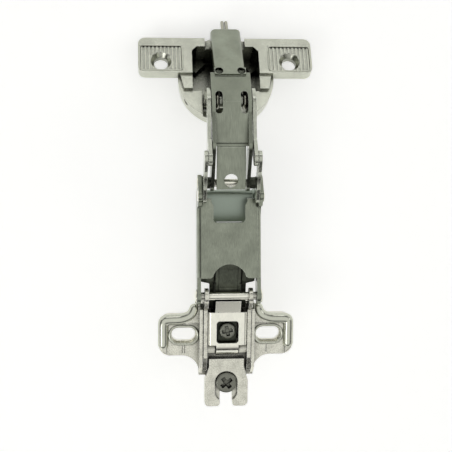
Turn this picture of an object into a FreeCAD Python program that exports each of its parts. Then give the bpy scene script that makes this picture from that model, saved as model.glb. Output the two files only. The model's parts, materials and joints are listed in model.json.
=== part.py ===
import FreeCAD, Part
import math
import os

# Concealed cup hinge, shown fully open as its springs hold it.
# The mounting plate lies on the cabinet wall (XY plane), +Y points out of the cabinet towards
# the door and +Z away from the wall. The origin is the middle of the line between the two
# screw slots of the plate, on the face that lies on the cabinet.
# All hinge pivots run along X. A point of the side view is written (y, z).

# Mounting plate
WING_SPAN = 51.0
WING_DEPTH = 15.8
WING_THICK = 3.5
WING_CORNER = 4.5
WING_FILLET = 6.5
BEAD_RISE = 1.1
BEAD_WIDTH = 2.9
SLOT_PITCH = 32.0
SLOT_LENGTH = 8.9
SLOT_WIDTH = 5.2
SLOT_SINK = 1.15
SLOT_SINK_DEPTH = 1.7
BLOCK_WIDTH = 20.6
BLOCK_FRONT = 13.0
BLOCK_REAR = -15.7
RAIL_THICK = 1.2
RAIL_HEIGHT = 8.1
TONGUE_REAR = -22.4
TONGUE_WIDTH = 13.0

# Slide bracket, clip plate and the two screws
SLIDE_GAP = 0.1
SIDE_GAP = 0.25
BRACKET_FLOOR = 1.2
BRACKET_WALL = 1.4
BRACKET_HEIGHT = 5.2
BRACKET_FRONT = 12.6
FORK_REAR = -27.2
FORK_FRONT = -10.5
FORK_WIDTH = 16.4
FORK_THICK = 3.2
FORK_SLOT = 4.7
FORK_SINK = 1.2
FIXING_Y = -17.7
FIXING_SHANK_R = 2.2
FIXING_HEAD_R = 3.95
FIXING_HEAD_THICK = 2.2
CLIP_SHEET = 1.2
CLIP_TOP = 9.6
CLIP_FRONT = 10.3
CLIP_REAR = -2.4
CLIP_TONGUE_WIDTH = 9.4
CLIP_REAR_TONGUE_WIDTH = 8.3
WINDOW_WIDTH = 8.2
WINDOW_FRONT = 6.9
WINDOW_REAR = -1.6
SIDE_SCREW_Y = 2.9
SIDE_SCREW_HEAD_R = 3.0
SIDE_SCREW_THREAD_R = 1.8
SIDE_SCREW_NECK_R = 1.2
SIDE_SCREW_TOP = 8.9

# Arm
AXLE_Y = 17.0
AXLE_Z = 11.0
AXLE_R = 1.5
AXLE_HEAD_R = 2.6
AXLE_HEAD_THICK = 0.9
AXLE_EAR_R = 3.0
ARM_WIDTH = 23.4
ARM_SHEET = 1.4
ARM_REAR = 24.5
ARM_FRONT = 53.0
ARM_FRONT_TOP = 9.5
ARM_SLOPE = 10.0
ARM_EDGE_R = 2.0
ARM_WALL_LOW_REAR = 6.0
ARM_WALL_LOW_FRONT = 2.6
NOTCH_WIDTH = 11.6
NOTCH_DEPTH = 8.6
NOTCH_MOUTH_WIDTH = 13.2
NOTCH_CORNER = 1.5
ARCH_WIDTH = 11.4
ARCH_DEPTH = 5.0
TILT_LEVER_WIDTH = 6.8
TILT_LEVER_THICK = 1.4
TILT_LEVER_PLAY = 0.35
THREAD_PLAY = 0.08
TILT_LEVER_PAD = 8.0
TILT_LEVER_END_Z = 5.5

# How far a cutter runs past the face it cuts
CLEAR_CUT = 1.0

# Linkage: pivot places in the side view, hinge fully open
OPEN_ANGLE = 125.0
PIVOT_A = (58.93, 10.0)
CRANK_LENGTH = 15.5
CRANK_ANGLE = 22.9
GUIDE_OFFSET = (-4.0, 4.5)
MOUTH = (96.8, -6.6)
MOUTH_ANGLE = -35.0
PIVOT_D_CUP = (-9.0, 4.5)
PIVOT_F_CUP = (7.0, 1.0)

# Linkage: layers from the middle outwards, and sheet thickness
LUG_HALF = 2.7
LINK_SHEET = 1.2
LEVER_SHEET = 1.3
OUTER_SHEET = 1.3
GUIDE_SHEET = 1.2
LAYER_GAP = 0.2
LEVER_INSIDE = 5.8
LEVER_OUTSIDE = LEVER_INSIDE + LEVER_SHEET

# Pins and eyes
FIT = 0.06
PIN_A_R = 1.4
PIN_C_R = 1.4
PIN_D_R = 1.3
PIN_E_R = 1.5
PIN_F_R = 1.3
PIN_B_R = 1.2
HEAD_RISE = 0.4
EYE_A_R = 3.0
EYE_C_R = 3.1
EYE_D_R = 2.9
EYE_E_R = 3.5
EYE_F_R = 2.5
EYE_B_R = 2.7
ARM_EAR_B_R = 2.3
BUSH_R = 2.1
BUSH_BASE_R = 2.6
OUTER_HALF = 2.0
HOOK_R = 4.8
GUIDE_HALF = 2.2
GUIDE_WAIST_R = 14.0
RIVET_HEAD_RIM = 0.9
RIVET_HEAD_TOP = 0.5
LINK_WEB_HALF = 0.65
LINK_WEB_FROM = 4.0
LINK_WEB_TO = 6.5

# Inner lever
TONGUE_HALF = 5.2
TONGUE_END = 57.3
TONGUE_STEP = 72.8
PLATE_TOP_REAR = 15.2
PLATE_TOP_FRONT = 14.7
PLATE_BEND = 88.6
SADDLE = (98.3, 6.9)
CAP_START = (97.6, 8.6)
CAP_TIP = (113.3, -12.1)
CAP_HALF = 5.6
CAP_SIDE = 4.2
CAP_EDGE_R = 1.9
SIGHT_HOLE_R = 2.45
SIGHT_HOLE_Y = 60.4
LEVER_SLOT_FROM = 84.3
LEVER_SLOT_TO = 92.0
LEVER_SLOT_INNER = 3.2

# Lever spring
WIRE_R = 0.7
COIL_R = 2.3
COIL_SIDES = 8
WIRE_UNDER_CAP = 0.25
PRONG_HALF = 0.85
PRONG_REACH = 4.4
SPRING_LEG = ((4.0, 3.1), (9.0, 4.2))
PRONG_TIE_R = 0.42

# Cup, in its own (u, v): u along the flange away from the door edge, v into the door
CUP_R = 17.5
COLLAR_R = 17.85
CUP_PIN_SINK = 0.3
CUP_BASE_R = 14.6
CUP_STRAIGHT = 8.0
CUP_DEPTH = 13.0
CUP_FLOOR = 1.2
CAVITY_HALF = 12.5
CAVITY_NEAR_HALF = 9.1
CAVITY_NEAR = -14.0
CAVITY_STEP = -5.4
CAVITY_FAR = 12.4
CAVITY_CHAMFER = 2.0
CAVITY_BEVEL = 1.8
RIM_LEVEL = 2.6
MOUTH_DROP = 2.0
BLOCK_LEVEL = 1.2
BLOCK_NEAR = -5.0
FLANGE_NEAR = 0.9
FLANGE_FAR = 16.0
FLANGE_THICK = 4.0
FLANGE_CORNER = 2.8
RECESS_HALF = 7.5
RECESS_DEPTH = 2.0
EAR_PITCH = 48.0
EAR_MARGIN = 8.5
EAR_U = 6.0
EAR_HOLE_R = 2.6
EAR_SINK_R = 3.9
EAR_SINK_DEPTH = 1.6
PAD_RIM = 0.6
PAD_NEAR = 1.9
PAD_FAR = 12.6
PAD_DEPTH = 0.5
RIB_COUNT = 11
RIB_RISE = 0.3
LUG_FOOT_U = 8.0
LUG_FOOT_V = 12.4
LUG_BACK_V = (3.2, 12.0)


def turned(point, degrees):
    """Turn a side-view vector."""
    a = math.radians(degrees)
    y = point[0] * math.cos(a) - point[1] * math.sin(a)
    z = point[0] * math.sin(a) + point[1] * math.cos(a)
    return (y, z)


def plus(p, q):
    return (p[0] + q[0], p[1] + q[1])


def minus(p, q):
    return (p[0] - q[0], p[1] - q[1])


def along(p, q, distance):
    """The point at a distance from p towards q."""
    length = math.hypot(q[0] - p[0], q[1] - p[1])
    k = distance / length
    return (p[0] + (q[0] - p[0]) * k, p[1] + (q[1] - p[1]) * k)


def cup_point(u, v):
    """A point of the cup's own side view in the hinge's side view."""
    return plus(MOUTH, plus(turned((u, 0.0), MOUTH_ANGLE), turned((v, 0.0), MOUTH_ANGLE - 90.0)))


CRANK = turned((CRANK_LENGTH, 0.0), CRANK_ANGLE)
PIVOT_B = plus(PIVOT_A, GUIDE_OFFSET)
PIVOT_C = plus(PIVOT_A, CRANK)
PIVOT_G = plus(PIVOT_B, CRANK)
PIVOT_D = cup_point(*PIVOT_D_CUP)
PIVOT_F = cup_point(*PIVOT_F_CUP)
PIVOT_E = plus(PIVOT_F, minus(PIVOT_C, PIVOT_D))
AXLE = (AXLE_Y, AXLE_Z)

LINK_INSIDE = LUG_HALF + LAYER_GAP
LINK_OUTSIDE = LINK_INSIDE + LINK_SHEET
OUTER_INSIDE = LEVER_OUTSIDE + LAYER_GAP + 0.1
OUTER_OUTSIDE = OUTER_INSIDE + OUTER_SHEET
GUIDE_INSIDE = OUTER_OUTSIDE + LAYER_GAP
GUIDE_OUTSIDE = GUIDE_INSIDE + GUIDE_SHEET
FLANGE_HALF = EAR_PITCH / 2 + EAR_MARGIN
PAD_HALF_WIDTH = EAR_MARGIN - PAD_RIM
ARM_HALF = ARM_WIDTH / 2
ARM_INSIDE = ARM_HALF - ARM_SHEET
BRACKET_BASE = WING_THICK + SLIDE_GAP
BRACKET_HALF = BLOCK_WIDTH / 2 - RAIL_THICK - SIDE_GAP
BRACKET_INSIDE = BRACKET_HALF - BRACKET_WALL
FLOOR_TOP = BRACKET_BASE + BRACKET_FLOOR
FORK_TOP = BRACKET_BASE + FORK_THICK


def fused(shapes):
    """One solid from shapes that meet."""
    return shapes[0].multiFuse(shapes[1:]).removeSplitter()


def cut(shape, tools):
    return shape.cut(Part.Compound(tools))


def mirrored(shape):
    """The same piece on the other side of the middle plane."""
    return shape.mirror(FreeCAD.Vector(0, 0, 0), FreeCAD.Vector(1, 0, 0))


def both(shape):
    return [shape, mirrored(shape)]


def box(x0, x1, y0, y1, z0, z1):
    return Part.makeBox(x1 - x0, y1 - y0, z1 - z0, FreeCAD.Vector(x0, y0, z0))


def outline(steps, place):
    """A closed face. A step is a point, or (middle, end) of an arc; place maps it to space."""
    here = steps[0]
    edges = []
    for step in steps[1:] + [steps[0]]:
        if isinstance(step[0], tuple):
            middle, end = step
            edges.append(Part.Arc(place(here), place(middle), place(end)).toShape())
        else:
            end = step
            if math.hypot(end[0] - here[0], end[1] - here[1]) < 1e-7:
                continue
            edges.append(Part.LineSegment(place(here), place(end)).toShape())
        here = end
    return Part.Face(Part.Wire(edges))


def side_prism(steps, x0, x1):
    """A side-view outline with thickness along X."""
    face = outline(steps, lambda p: FreeCAD.Vector(x0, p[0], p[1]))
    return face.extrude(FreeCAD.Vector(x1 - x0, 0, 0))


def top_prism(steps, z0, z1):
    """A top-view outline with thickness along Z."""
    face = outline(steps, lambda p: FreeCAD.Vector(p[0], p[1], z0))
    return face.extrude(FreeCAD.Vector(0, 0, z1 - z0))


def rod(point, radius, x0, x1):
    """A round pin along X at a side-view point."""
    return Part.makeCylinder(radius, x1 - x0, FreeCAD.Vector(x0, point[0], point[1]),
                             FreeCAD.Vector(1, 0, 0))


def bore(point, radius, x0, x1):
    """The cutter of a hole along X that runs clear past both faces."""
    return rod(point, radius, x0 - CLEAR_CUT, x1 + CLEAR_CUT)


def cone_rod(point, r0, r1, x0, x1):
    return Part.makeCone(r0, r1, x1 - x0, FreeCAD.Vector(x0, point[0], point[1]),
                         FreeCAD.Vector(1, 0, 0))


def post(x, y, radius, z0, z1):
    """A round upright."""
    return Part.makeCylinder(radius, z1 - z0, FreeCAD.Vector(x, y, z0))


def strap(p, q, half, x0, x1):
    """A straight flat bar between two side-view points."""
    length = math.hypot(q[0] - p[0], q[1] - p[1])
    ny = -(q[1] - p[1]) / length * half
    nz = (q[0] - p[0]) / length * half
    corners = [(p[0] + ny, p[1] + nz), (q[0] + ny, q[1] + nz),
               (q[0] - ny, q[1] - nz), (p[0] - ny, p[1] - nz)]
    return side_prism(corners, x0, x1)


def hull_plate(p, rp, q, rq, x0, x1):
    """A plate round two eyes, its edges tangent to both."""
    d = math.hypot(q[0] - p[0], q[1] - p[1])
    base = math.degrees(math.atan2(q[1] - p[1], q[0] - p[0]))
    lean = math.degrees(math.acos((rp - rq) / d))
    up = base + lean
    down = base - lean
    corners = [plus(p, turned((rp, 0), up)), plus(q, turned((rq, 0), up)),
               plus(q, turned((rq, 0), down)), plus(p, turned((rp, 0), down))]
    return fused([side_prism(corners, x0, x1), rod(p, rp, x0, x1), rod(q, rq, x0, x1)])


def slot_face(x, y, length, width, z):
    """A slot with round ends along X."""
    half = length / 2 - width / 2
    r = width / 2
    steps = [(x - half, y + r), (x + half, y + r), ((x + half + r, y), (x + half, y - r)),
             (x - half, y - r), ((x - half - r, y), (x - half, y + r))]
    return outline(steps, lambda p: FreeCAD.Vector(p[0], p[1], z))


def rounded_top_prism(x0, x1, y0, y1, r, z0, z1):
    """An upright block with round corners in the top view."""
    k = r * (1 - math.sqrt(0.5))
    steps = [(x0 + r, y0), (x1 - r, y0), ((x1 - k, y0 + k), (x1, y0 + r)),
             (x1, y1 - r), ((x1 - k, y1 - k), (x1 - r, y1)),
             (x0 + r, y1), ((x0 + k, y1 - k), (x0, y1 - r)),
             (x0, y0 + r), ((x0 + k, y0 + k), (x0 + r, y0))]
    return top_prism(steps, z0, z1)


def arm_top(y):
    """Height of the arm's sloping top face."""
    return ARM_FRONT_TOP + (ARM_FRONT - y) * math.tan(math.radians(ARM_SLOPE))


def cross_recess(x, y, z, size, depth):
    """The cross in a screw head, cut down from height z."""
    bar = size / 4
    return [box(x - size / 2, x + size / 2, y - bar / 2, y + bar / 2, z - depth, z + 1),
            box(x - bar / 2, x + bar / 2, y - size / 2, y + size / 2, z - depth, z + 1),
            Part.makeCone(0.2, bar * 0.95, depth, FreeCAD.Vector(x, y, z - depth))]


def make_mounting_plate():
    """Cast cross plate with two slotted wings, side rails and a threaded rear tongue."""
    half = WING_SPAN / 2
    deep = WING_DEPTH / 2
    block = BLOCK_WIDTH / 2
    k = 1 - math.sqrt(0.5)
    c = WING_CORNER
    f = WING_FILLET
    right = [(block, BLOCK_FRONT), (block, deep + f),
             ((block + f * k, deep + f * k), (block + f, deep)),
             (half - c, deep), ((half - c * k, deep - c * k), (half, deep - c)),
             (half, c - deep), ((half - c * k, c * k - deep), (half - c, -deep)),
             (block + f, -deep), ((block + f * k, -deep - f * k), (block, -deep - f)),
             (block, BLOCK_REAR)]
    steps = right + [(-block, BLOCK_REAR)]
    left = [(-block, -deep - f), ((-block - f * k, -deep - f * k), (-block - f, -deep)),
            (c - half, -deep), ((c * k - half, c * k - deep), (-half, c - deep)),
            (-half, deep - c), ((c * k - half, deep - c * k), (c - half, deep)),
            (-block - f, deep), ((-block - f * k, deep + f * k), (-block, deep + f)),
            (-block, BLOCK_FRONT)]
    base = top_prism(steps + left, 0, WING_THICK + BEAD_RISE)
    rim = [e for e in base.Edges
           if e.BoundBox.ZMin > WING_THICK and e.BoundBox.YMax < BLOCK_FRONT - 0.01
           and e.BoundBox.YMin > BLOCK_REAR + 0.01]
    base = base.makeFillet(BEAD_RISE * 0.95, rim)
    low = -deep + 0.9
    pocket = rounded_top_prism(block - 1, half - BEAD_WIDTH, low, deep - BEAD_WIDTH, 2.0,
                               WING_THICK, WING_THICK + BEAD_RISE + 1)
    edge_strip = box(block - 1, half - BEAD_WIDTH, -deep - f, low + 2.2, WING_THICK,
                     WING_THICK + BEAD_RISE + 1)
    floor = box(-block + 0.01, block - 0.01, BLOCK_REAR - 1, BLOCK_FRONT + 1, WING_THICK,
                WING_THICK + BEAD_RISE + 1)
    tools = both(pocket) + both(edge_strip) + [floor]
    for x in (-SLOT_PITCH / 2, SLOT_PITCH / 2):
        tools.append(slot_face(x, 0, SLOT_LENGTH, SLOT_WIDTH, -1).extrude(
            FreeCAD.Vector(0, 0, WING_THICK + 2)))
        lower = slot_face(x, 0, SLOT_LENGTH, SLOT_WIDTH, WING_THICK - SLOT_SINK_DEPTH).OuterWire
        upper = slot_face(x, 0, SLOT_LENGTH + 2 * SLOT_SINK, SLOT_WIDTH + 2 * SLOT_SINK,
                          WING_THICK).OuterWire
        tools.append(Part.makeLoft([lower, upper], True, True))
    for x in (-SLOT_PITCH / 2 - 0.45, -SLOT_PITCH / 2 + 0.45, SLOT_PITCH / 2 - 0.6):
        for y0, y1 in ((SLOT_WIDTH / 2 + SLOT_SINK + 0.1, deep - BEAD_WIDTH), (low, -SLOT_WIDTH / 2
                       - SLOT_SINK - 0.1)):
            tools.append(box(x - 0.12, x + 0.12, y0, y1, WING_THICK - 0.2, WING_THICK + 1))
    plate = cut(base, tools)
    tail = TONGUE_WIDTH / 2
    r = 3.0
    tongue = rounded_top_prism(-tail, tail, TONGUE_REAR, BLOCK_REAR + 6, r, 0, WING_THICK)
    rail = side_prism([(BLOCK_REAR + 1.5, WING_THICK - 1), (BLOCK_REAR + 1.5, 5.6),
                       (BLOCK_REAR + 4.5, RAIL_HEIGHT), (BLOCK_FRONT - 2.0, RAIL_HEIGHT),
                       (BLOCK_FRONT, RAIL_HEIGHT - 2.0), (BLOCK_FRONT, WING_THICK - 1)],
                      block - RAIL_THICK, block)
    plate = fused([plate, tongue] + both(rail))
    return cut(plate, [post(0, FIXING_Y, FIXING_SHANK_R + FIT, -1, WING_THICK + 1)])


def make_fixing_screw():
    """Screw that clamps the fork of the slide bracket to the plate."""
    seat = FORK_TOP - FORK_SINK + SLIDE_GAP
    head = post(0, FIXING_Y, FIXING_HEAD_R, seat, seat + FIXING_HEAD_THICK)
    crown = [e for e in head.Edges if e.BoundBox.ZMin > seat + FIXING_HEAD_THICK - 0.01]
    head = head.makeChamfer(0.45, crown)
    shank = post(0, FIXING_Y, FIXING_SHANK_R, 0.3, seat + 0.5)
    screw = fused([head, shank])
    return cut(screw, cross_recess(0, FIXING_Y, seat + FIXING_HEAD_THICK, 4.6, 1.6))


def make_slide_bracket():
    """Cast bracket: floor, side walls with ears for the axle, and the slotted rear fork."""
    floor = box(-BRACKET_HALF, BRACKET_HALF, FORK_FRONT, BRACKET_FRONT, BRACKET_BASE, FLOOR_TOP)
    top = BRACKET_BASE + BRACKET_HEIGHT
    wall = side_prism([(FORK_FRONT - 2.5, BRACKET_BASE), (FORK_FRONT - 2.5, FORK_TOP),
                       (FORK_FRONT + 3.0, top), (AXLE_Y - 6.0, top),
                       (AXLE_Y - 4.4, AXLE_Z + 1.0), (AXLE_Y, AXLE_Z + AXLE_EAR_R),
                       (AXLE_Y + AXLE_EAR_R, AXLE_Z), (AXLE_Y + 1.2, AXLE_Z - AXLE_EAR_R),
                       (BRACKET_FRONT, BRACKET_BASE + 2.4), (BRACKET_FRONT, BRACKET_BASE)],
                      BRACKET_INSIDE, BRACKET_HALF)
    ear = rod(AXLE, AXLE_EAR_R, BRACKET_INSIDE, BRACKET_HALF)
    keep = fused([side_prism([(FORK_FRONT - 3, 0), (FORK_FRONT - 3, 20), (AXLE_Y, 20),
                              (AXLE_Y, 0)], BRACKET_INSIDE, BRACKET_HALF), ear])
    wall = fused([wall.common(keep), ear])
    half = FORK_WIDTH / 2
    leg = FORK_SLOT / 2
    neck = half - 1.6
    fork = top_prism([(-neck, FORK_FRONT + 2.0), (-neck, FORK_FRONT - 1.0),
                      (-half, FORK_FRONT - 6.5), (-half, FORK_REAR + 1.6),
                      ((-half + 0.5, FORK_REAR + 0.5), (-half + 1.6, FORK_REAR)),
                      (-leg - 1.2, FORK_REAR), ((-leg - 0.35, FORK_REAR + 0.35),
                                                (-leg, FORK_REAR + 1.2)),
                      (-leg, FIXING_Y), ((0, FIXING_Y + leg), (leg, FIXING_Y)),
                      (leg, FORK_REAR + 1.2), ((leg + 0.35, FORK_REAR + 0.35),
                                               (leg + 1.2, FORK_REAR)),
                      (half - 1.6, FORK_REAR), ((half - 0.5, FORK_REAR + 0.5),
                                                (half, FORK_REAR + 1.6)),
                      (half, FORK_FRONT - 6.5), (neck, FORK_FRONT - 1.0),
                      (neck, FORK_FRONT + 2.0)], BRACKET_BASE, FORK_TOP)
    sink_r = FIXING_HEAD_R + 0.3
    sink = fused([post(0, FIXING_Y, sink_r, FORK_TOP - FORK_SINK, FORK_TOP + 1),
                  box(-sink_r, sink_r, FORK_REAR + 4.6, FIXING_Y, FORK_TOP - FORK_SINK,
                      FORK_TOP + 1),
                  post(0, FORK_REAR + 4.6 + 1.2, sink_r, FORK_TOP - FORK_SINK, FORK_TOP + 1)])
    fork = fork.cut(sink)
    hook = side_prism([(CLIP_REAR - 0.4, FLOOR_TOP - 0.5), (CLIP_REAR - 0.4, CLIP_TOP - 1.6),
                       (CLIP_REAR - 1.6, CLIP_TOP - 1.0), (CLIP_REAR - 3.6, FORK_TOP + 0.4),
                       (CLIP_REAR - 4.6, FLOOR_TOP - 0.5)],
                      CLIP_REAR_TONGUE_WIDTH / 2 + 0.4, BRACKET_INSIDE + 0.2)
    bracket = fused([floor, fork] + both(wall) + both(hook))
    neck_r = SIDE_SCREW_NECK_R + 0.08
    tools = [rod(AXLE, AXLE_R, -BRACKET_HALF - 1, BRACKET_HALF + 1),
             post(0, SIDE_SCREW_Y, neck_r, BRACKET_BASE - 1, FLOOR_TOP + 1),
             Part.makeCone(neck_r + 0.5, neck_r, 0.5, FreeCAD.Vector(0, SIDE_SCREW_Y,
                                                                      BRACKET_BASE))]
    return cut(bracket, tools)


def make_clip_plate():
    """Folded spring plate with a window over the side screw and two tongues."""
    half = BRACKET_INSIDE - 0.15
    block = box(-half, half, CLIP_REAR, CLIP_FRONT, FLOOR_TOP, CLIP_TOP)
    long_edges = [e for e in block.Edges if e.BoundBox.ZMin > CLIP_TOP - 0.01
                  and e.BoundBox.XLength < 0.01]
    block = block.makeFillet(1.3, long_edges)
    inside = box(-half + CLIP_SHEET, half - CLIP_SHEET, CLIP_REAR - 1, CLIP_FRONT + 1,
                 FLOOR_TOP - 1, CLIP_TOP - CLIP_SHEET)
    window = rounded_top_prism(-WINDOW_WIDTH / 2, WINDOW_WIDTH / 2, WINDOW_REAR, WINDOW_FRONT,
                               1.2, FLOOR_TOP, CLIP_TOP + 1)
    tongue = CLIP_TONGUE_WIDTH / 2
    front = side_prism([(CLIP_FRONT - 1, CLIP_TOP - CLIP_SHEET), (CLIP_FRONT - 1, CLIP_TOP),
                        (CLIP_FRONT, CLIP_TOP), (AXLE_Y - AXLE_R - 0.3, AXLE_Z + 1.0),
                        (AXLE_Y - AXLE_R - 0.3, AXLE_Z + 1.0 - CLIP_SHEET),
                        (CLIP_FRONT, CLIP_TOP - CLIP_SHEET)], -tongue, tongue)
    back = CLIP_REAR_TONGUE_WIDTH / 2
    drop = CLIP_TOP - FLOOR_TOP
    reach = 5.6
    inner = drop - CLIP_SHEET
    k = math.sqrt(0.5)
    rear = side_prism([(CLIP_REAR + 1, CLIP_TOP), (CLIP_REAR + 1, CLIP_TOP - CLIP_SHEET),
                       (CLIP_REAR, CLIP_TOP - CLIP_SHEET),
                       ((CLIP_REAR - inner * k, FLOOR_TOP + inner * k),
                        (CLIP_REAR - inner, FLOOR_TOP)),
                       (CLIP_REAR - drop, FLOOR_TOP),
                       ((CLIP_REAR - drop * k, FLOOR_TOP + drop * k), (CLIP_REAR, CLIP_TOP))],
                      -back, back)
    plate = fused([cut(block, [inside]), front, rear])
    return cut(plate, [window])


def make_side_screw():
    """Screw that moves the tilt lever; its foot is spread in the bracket's floor."""
    y = SIDE_SCREW_Y
    head = post(0, y, SIDE_SCREW_HEAD_R, SIDE_SCREW_TOP - 1.3, SIDE_SCREW_TOP)
    crown = [e for e in head.Edges if e.BoundBox.ZMin > SIDE_SCREW_TOP - 0.01]
    head = head.makeChamfer(0.35, crown)
    thread = post(0, y, SIDE_SCREW_THREAD_R, FLOOR_TOP + 0.05, SIDE_SCREW_TOP - 1.0)
    neck = post(0, y, SIDE_SCREW_NECK_R, BRACKET_BASE + 0.05, FLOOR_TOP + 0.2)
    foot = Part.makeCone(SIDE_SCREW_NECK_R + 0.4, SIDE_SCREW_NECK_R, 0.4,
                         FreeCAD.Vector(0, y, BRACKET_BASE + 0.03))
    screw = fused([head, thread, neck, foot])
    return cut(screw, cross_recess(0, y, SIDE_SCREW_TOP, 3.6, 1.0))


def make_arm_axle():
    """Axle on which the arm tilts, riveted in the arm's rear ears."""
    reach = ARM_HALF + 0.12
    axle = [rod(AXLE, AXLE_R, -reach, reach)]
    axle += both(cone_rod(AXLE, AXLE_HEAD_R, AXLE_HEAD_R - 0.7, reach, reach + AXLE_HEAD_THICK))
    return fused(axle)


def make_arm_channel():
    """Folded arm: top plate with front notch and rear arch, side walls with pivot ears."""
    low = arm_top(ARM_FRONT) - ARM_SHEET
    height = arm_top(ARM_REAR)
    r = ARM_EDGE_R
    k = r * (1 - math.sqrt(0.5))
    ri = r - ARM_SHEET
    ki = ri * (1 - math.sqrt(0.5))
    inside = ARM_INSIDE
    t = ARM_SHEET
    deep = 9.0
    steps = [(-ARM_HALF, -deep), (-ARM_HALF, -r), ((-ARM_HALF + k, -k), (-ARM_HALF + r, 0)),
             (ARM_HALF - r, 0), ((ARM_HALF - k, -k), (ARM_HALF, -r)), (ARM_HALF, -deep),
             (inside, -deep), (inside, -t - ri), ((inside - ki, -t - ki), (inside - ri, -t)),
             (-inside + ri, -t), ((-inside + ki, -t - ki), (-inside, -t - ri)), (-inside, -deep)]
    slope = math.tan(math.radians(ARM_SLOPE))
    face = outline(steps, lambda p: FreeCAD.Vector(p[0], ARM_REAR, height + p[1]))
    length = ARM_FRONT - ARM_REAR
    channel = face.extrude(FreeCAD.Vector(0, length, -length * slope))
    keep = side_prism([(ARM_REAR - 1, ARM_WALL_LOW_REAR), (ARM_REAR - 1, height + 2),
                       (ARM_FRONT + 1, height + 2), (ARM_FRONT + 1, ARM_WALL_LOW_FRONT)],
                      -ARM_HALF - 1, ARM_HALF + 1)
    channel = channel.common(keep)
    front_join = ARM_FRONT - 7.0
    rear_join = ARM_REAR + 3.0
    fall = (ARM_WALL_LOW_REAR - ARM_WALL_LOW_FRONT) / (ARM_FRONT - ARM_REAR + 2)
    wall_low_front = ARM_WALL_LOW_FRONT + fall
    front_ear = side_prism([(front_join, wall_low_front + fall * 7),
                            (front_join, arm_top(front_join) - r),
                            (ARM_FRONT - 3.2, arm_top(ARM_FRONT - 3.2) - 0.6),
                            (ARM_FRONT - 2.0, PIVOT_B[1] - 1.2),
                            (PIVOT_B[0] - ARM_EAR_B_R, PIVOT_B[1]),
                            plus(PIVOT_B, turned((ARM_EAR_B_R, 0), 48)),
                            plus(PIVOT_A, turned((EYE_A_R, 0), 48)),
                            plus(PIVOT_A, turned((EYE_A_R, 0), -70)),
                            (ARM_FRONT - 1.0, wall_low_front)], inside, ARM_HALF)
    rear_ear = side_prism([(rear_join, ARM_WALL_LOW_REAR), (rear_join, arm_top(rear_join) - r),
                           (ARM_REAR, height - r), (ARM_REAR - 2, height - r + 0.2),
                           plus(AXLE, turned((AXLE_EAR_R, 0), 95)),
                           plus(AXLE, turned((AXLE_EAR_R, 0), -80))], inside, ARM_HALF)
    walls = [front_ear, rear_ear, rod(PIVOT_B, ARM_EAR_B_R, inside, ARM_HALF),
             rod(PIVOT_A, EYE_A_R, inside, ARM_HALF), rod(AXLE, AXLE_EAR_R, inside, ARM_HALF)]
    arm = channel
    for wall in walls:
        arm = arm.fuse(wall).fuse(mirrored(wall))
    arm = arm.removeSplitter()
    w = NOTCH_WIDTH / 2
    m = NOTCH_MOUTH_WIDTH / 2
    end = ARM_FRONT - NOTCH_DEPTH
    c = NOTCH_CORNER
    kc = c * (1 - math.sqrt(0.5))
    notch = top_prism([(-m, ARM_FRONT + 1), (-m, ARM_FRONT - 1.0), (-w, ARM_FRONT - 2.4),
                       (-w, end + c), ((-w + kc, end + kc), (-w + c, end)), (w - c, end),
                       ((w - kc, end + kc), (w, end + c)), (w, ARM_FRONT - 2.4),
                       (m, ARM_FRONT - 1.0), (m, ARM_FRONT + 1)], low - 2, height)
    a = ARCH_WIDTH / 2
    top = ARM_REAR + ARCH_DEPTH
    flare = 1.6
    arch = top_prism([(-a - flare, ARM_REAR - 1), (-a - flare, ARM_REAR),
                      ((-a - 0.5, ARM_REAR + 0.5), (-a, ARM_REAR + flare)),
                      ((0, top), (a, ARM_REAR + flare)),
                      ((a + 0.5, ARM_REAR + 0.5), (a + flare, ARM_REAR)),
                      (a + flare, ARM_REAR - 1)], 8, height + 1)
    tools = [notch, arch]
    tools += both(rod(AXLE, AXLE_R + FIT, inside - 1, ARM_HALF + 1))
    tools += both(rod(PIVOT_A, PIN_A_R, inside - 1, ARM_HALF + 1))
    tools += both(rod(PIVOT_B, PIN_B_R, inside - 1, ARM_HALF + 1))
    return cut(arm, tools)


def make_tilt_lever():
    """Lever welded under the arm that reaches back to the side screw."""
    half = TILT_LEVER_WIDTH / 2
    t = TILT_LEVER_THICK
    front = ARM_REAR + ARCH_DEPTH + 0.3
    pad_end = front + TILT_LEVER_PAD
    under = arm_top(front) - ARM_SHEET
    under_end = arm_top(pad_end) - ARM_SHEET
    below = AXLE_Z - AXLE_R - 0.5
    z = TILT_LEVER_END_Z
    rear = SIDE_SCREW_Y - 4.6
    body = side_prism([(rear, z), (rear, z + t), (SIDE_SCREW_Y + 4.0, z + t),
                       (AXLE_Y - 3.0, below), (AXLE_Y + 2.6, below), (front - 3.0, under - 1.6),
                       (front, under), (pad_end, under_end), (pad_end, under_end - t),
                       (front + 1.0, under - t - 0.8), (AXLE_Y + 4.0, below - t - 0.2),
                       (AXLE_Y - 3.0, below - t - 0.3), (SIDE_SCREW_Y + 5.0, z)], -half, half)
    boss = post(0, SIDE_SCREW_Y, SIDE_SCREW_THREAD_R + 1.5, z, z + t)
    r = SIDE_SCREW_THREAD_R + THREAD_PLAY
    slot = []
    for shift in (-TILT_LEVER_PLAY, TILT_LEVER_PLAY):
        slot.append(post(0, SIDE_SCREW_Y + shift, r, z - 2, z + t + 2))
    slot.append(box(-r, r, SIDE_SCREW_Y - TILT_LEVER_PLAY, SIDE_SCREW_Y + TILT_LEVER_PLAY, z - 2,
                    z + t + 2))
    return cut(fused([body, boss]), slot)


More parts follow.
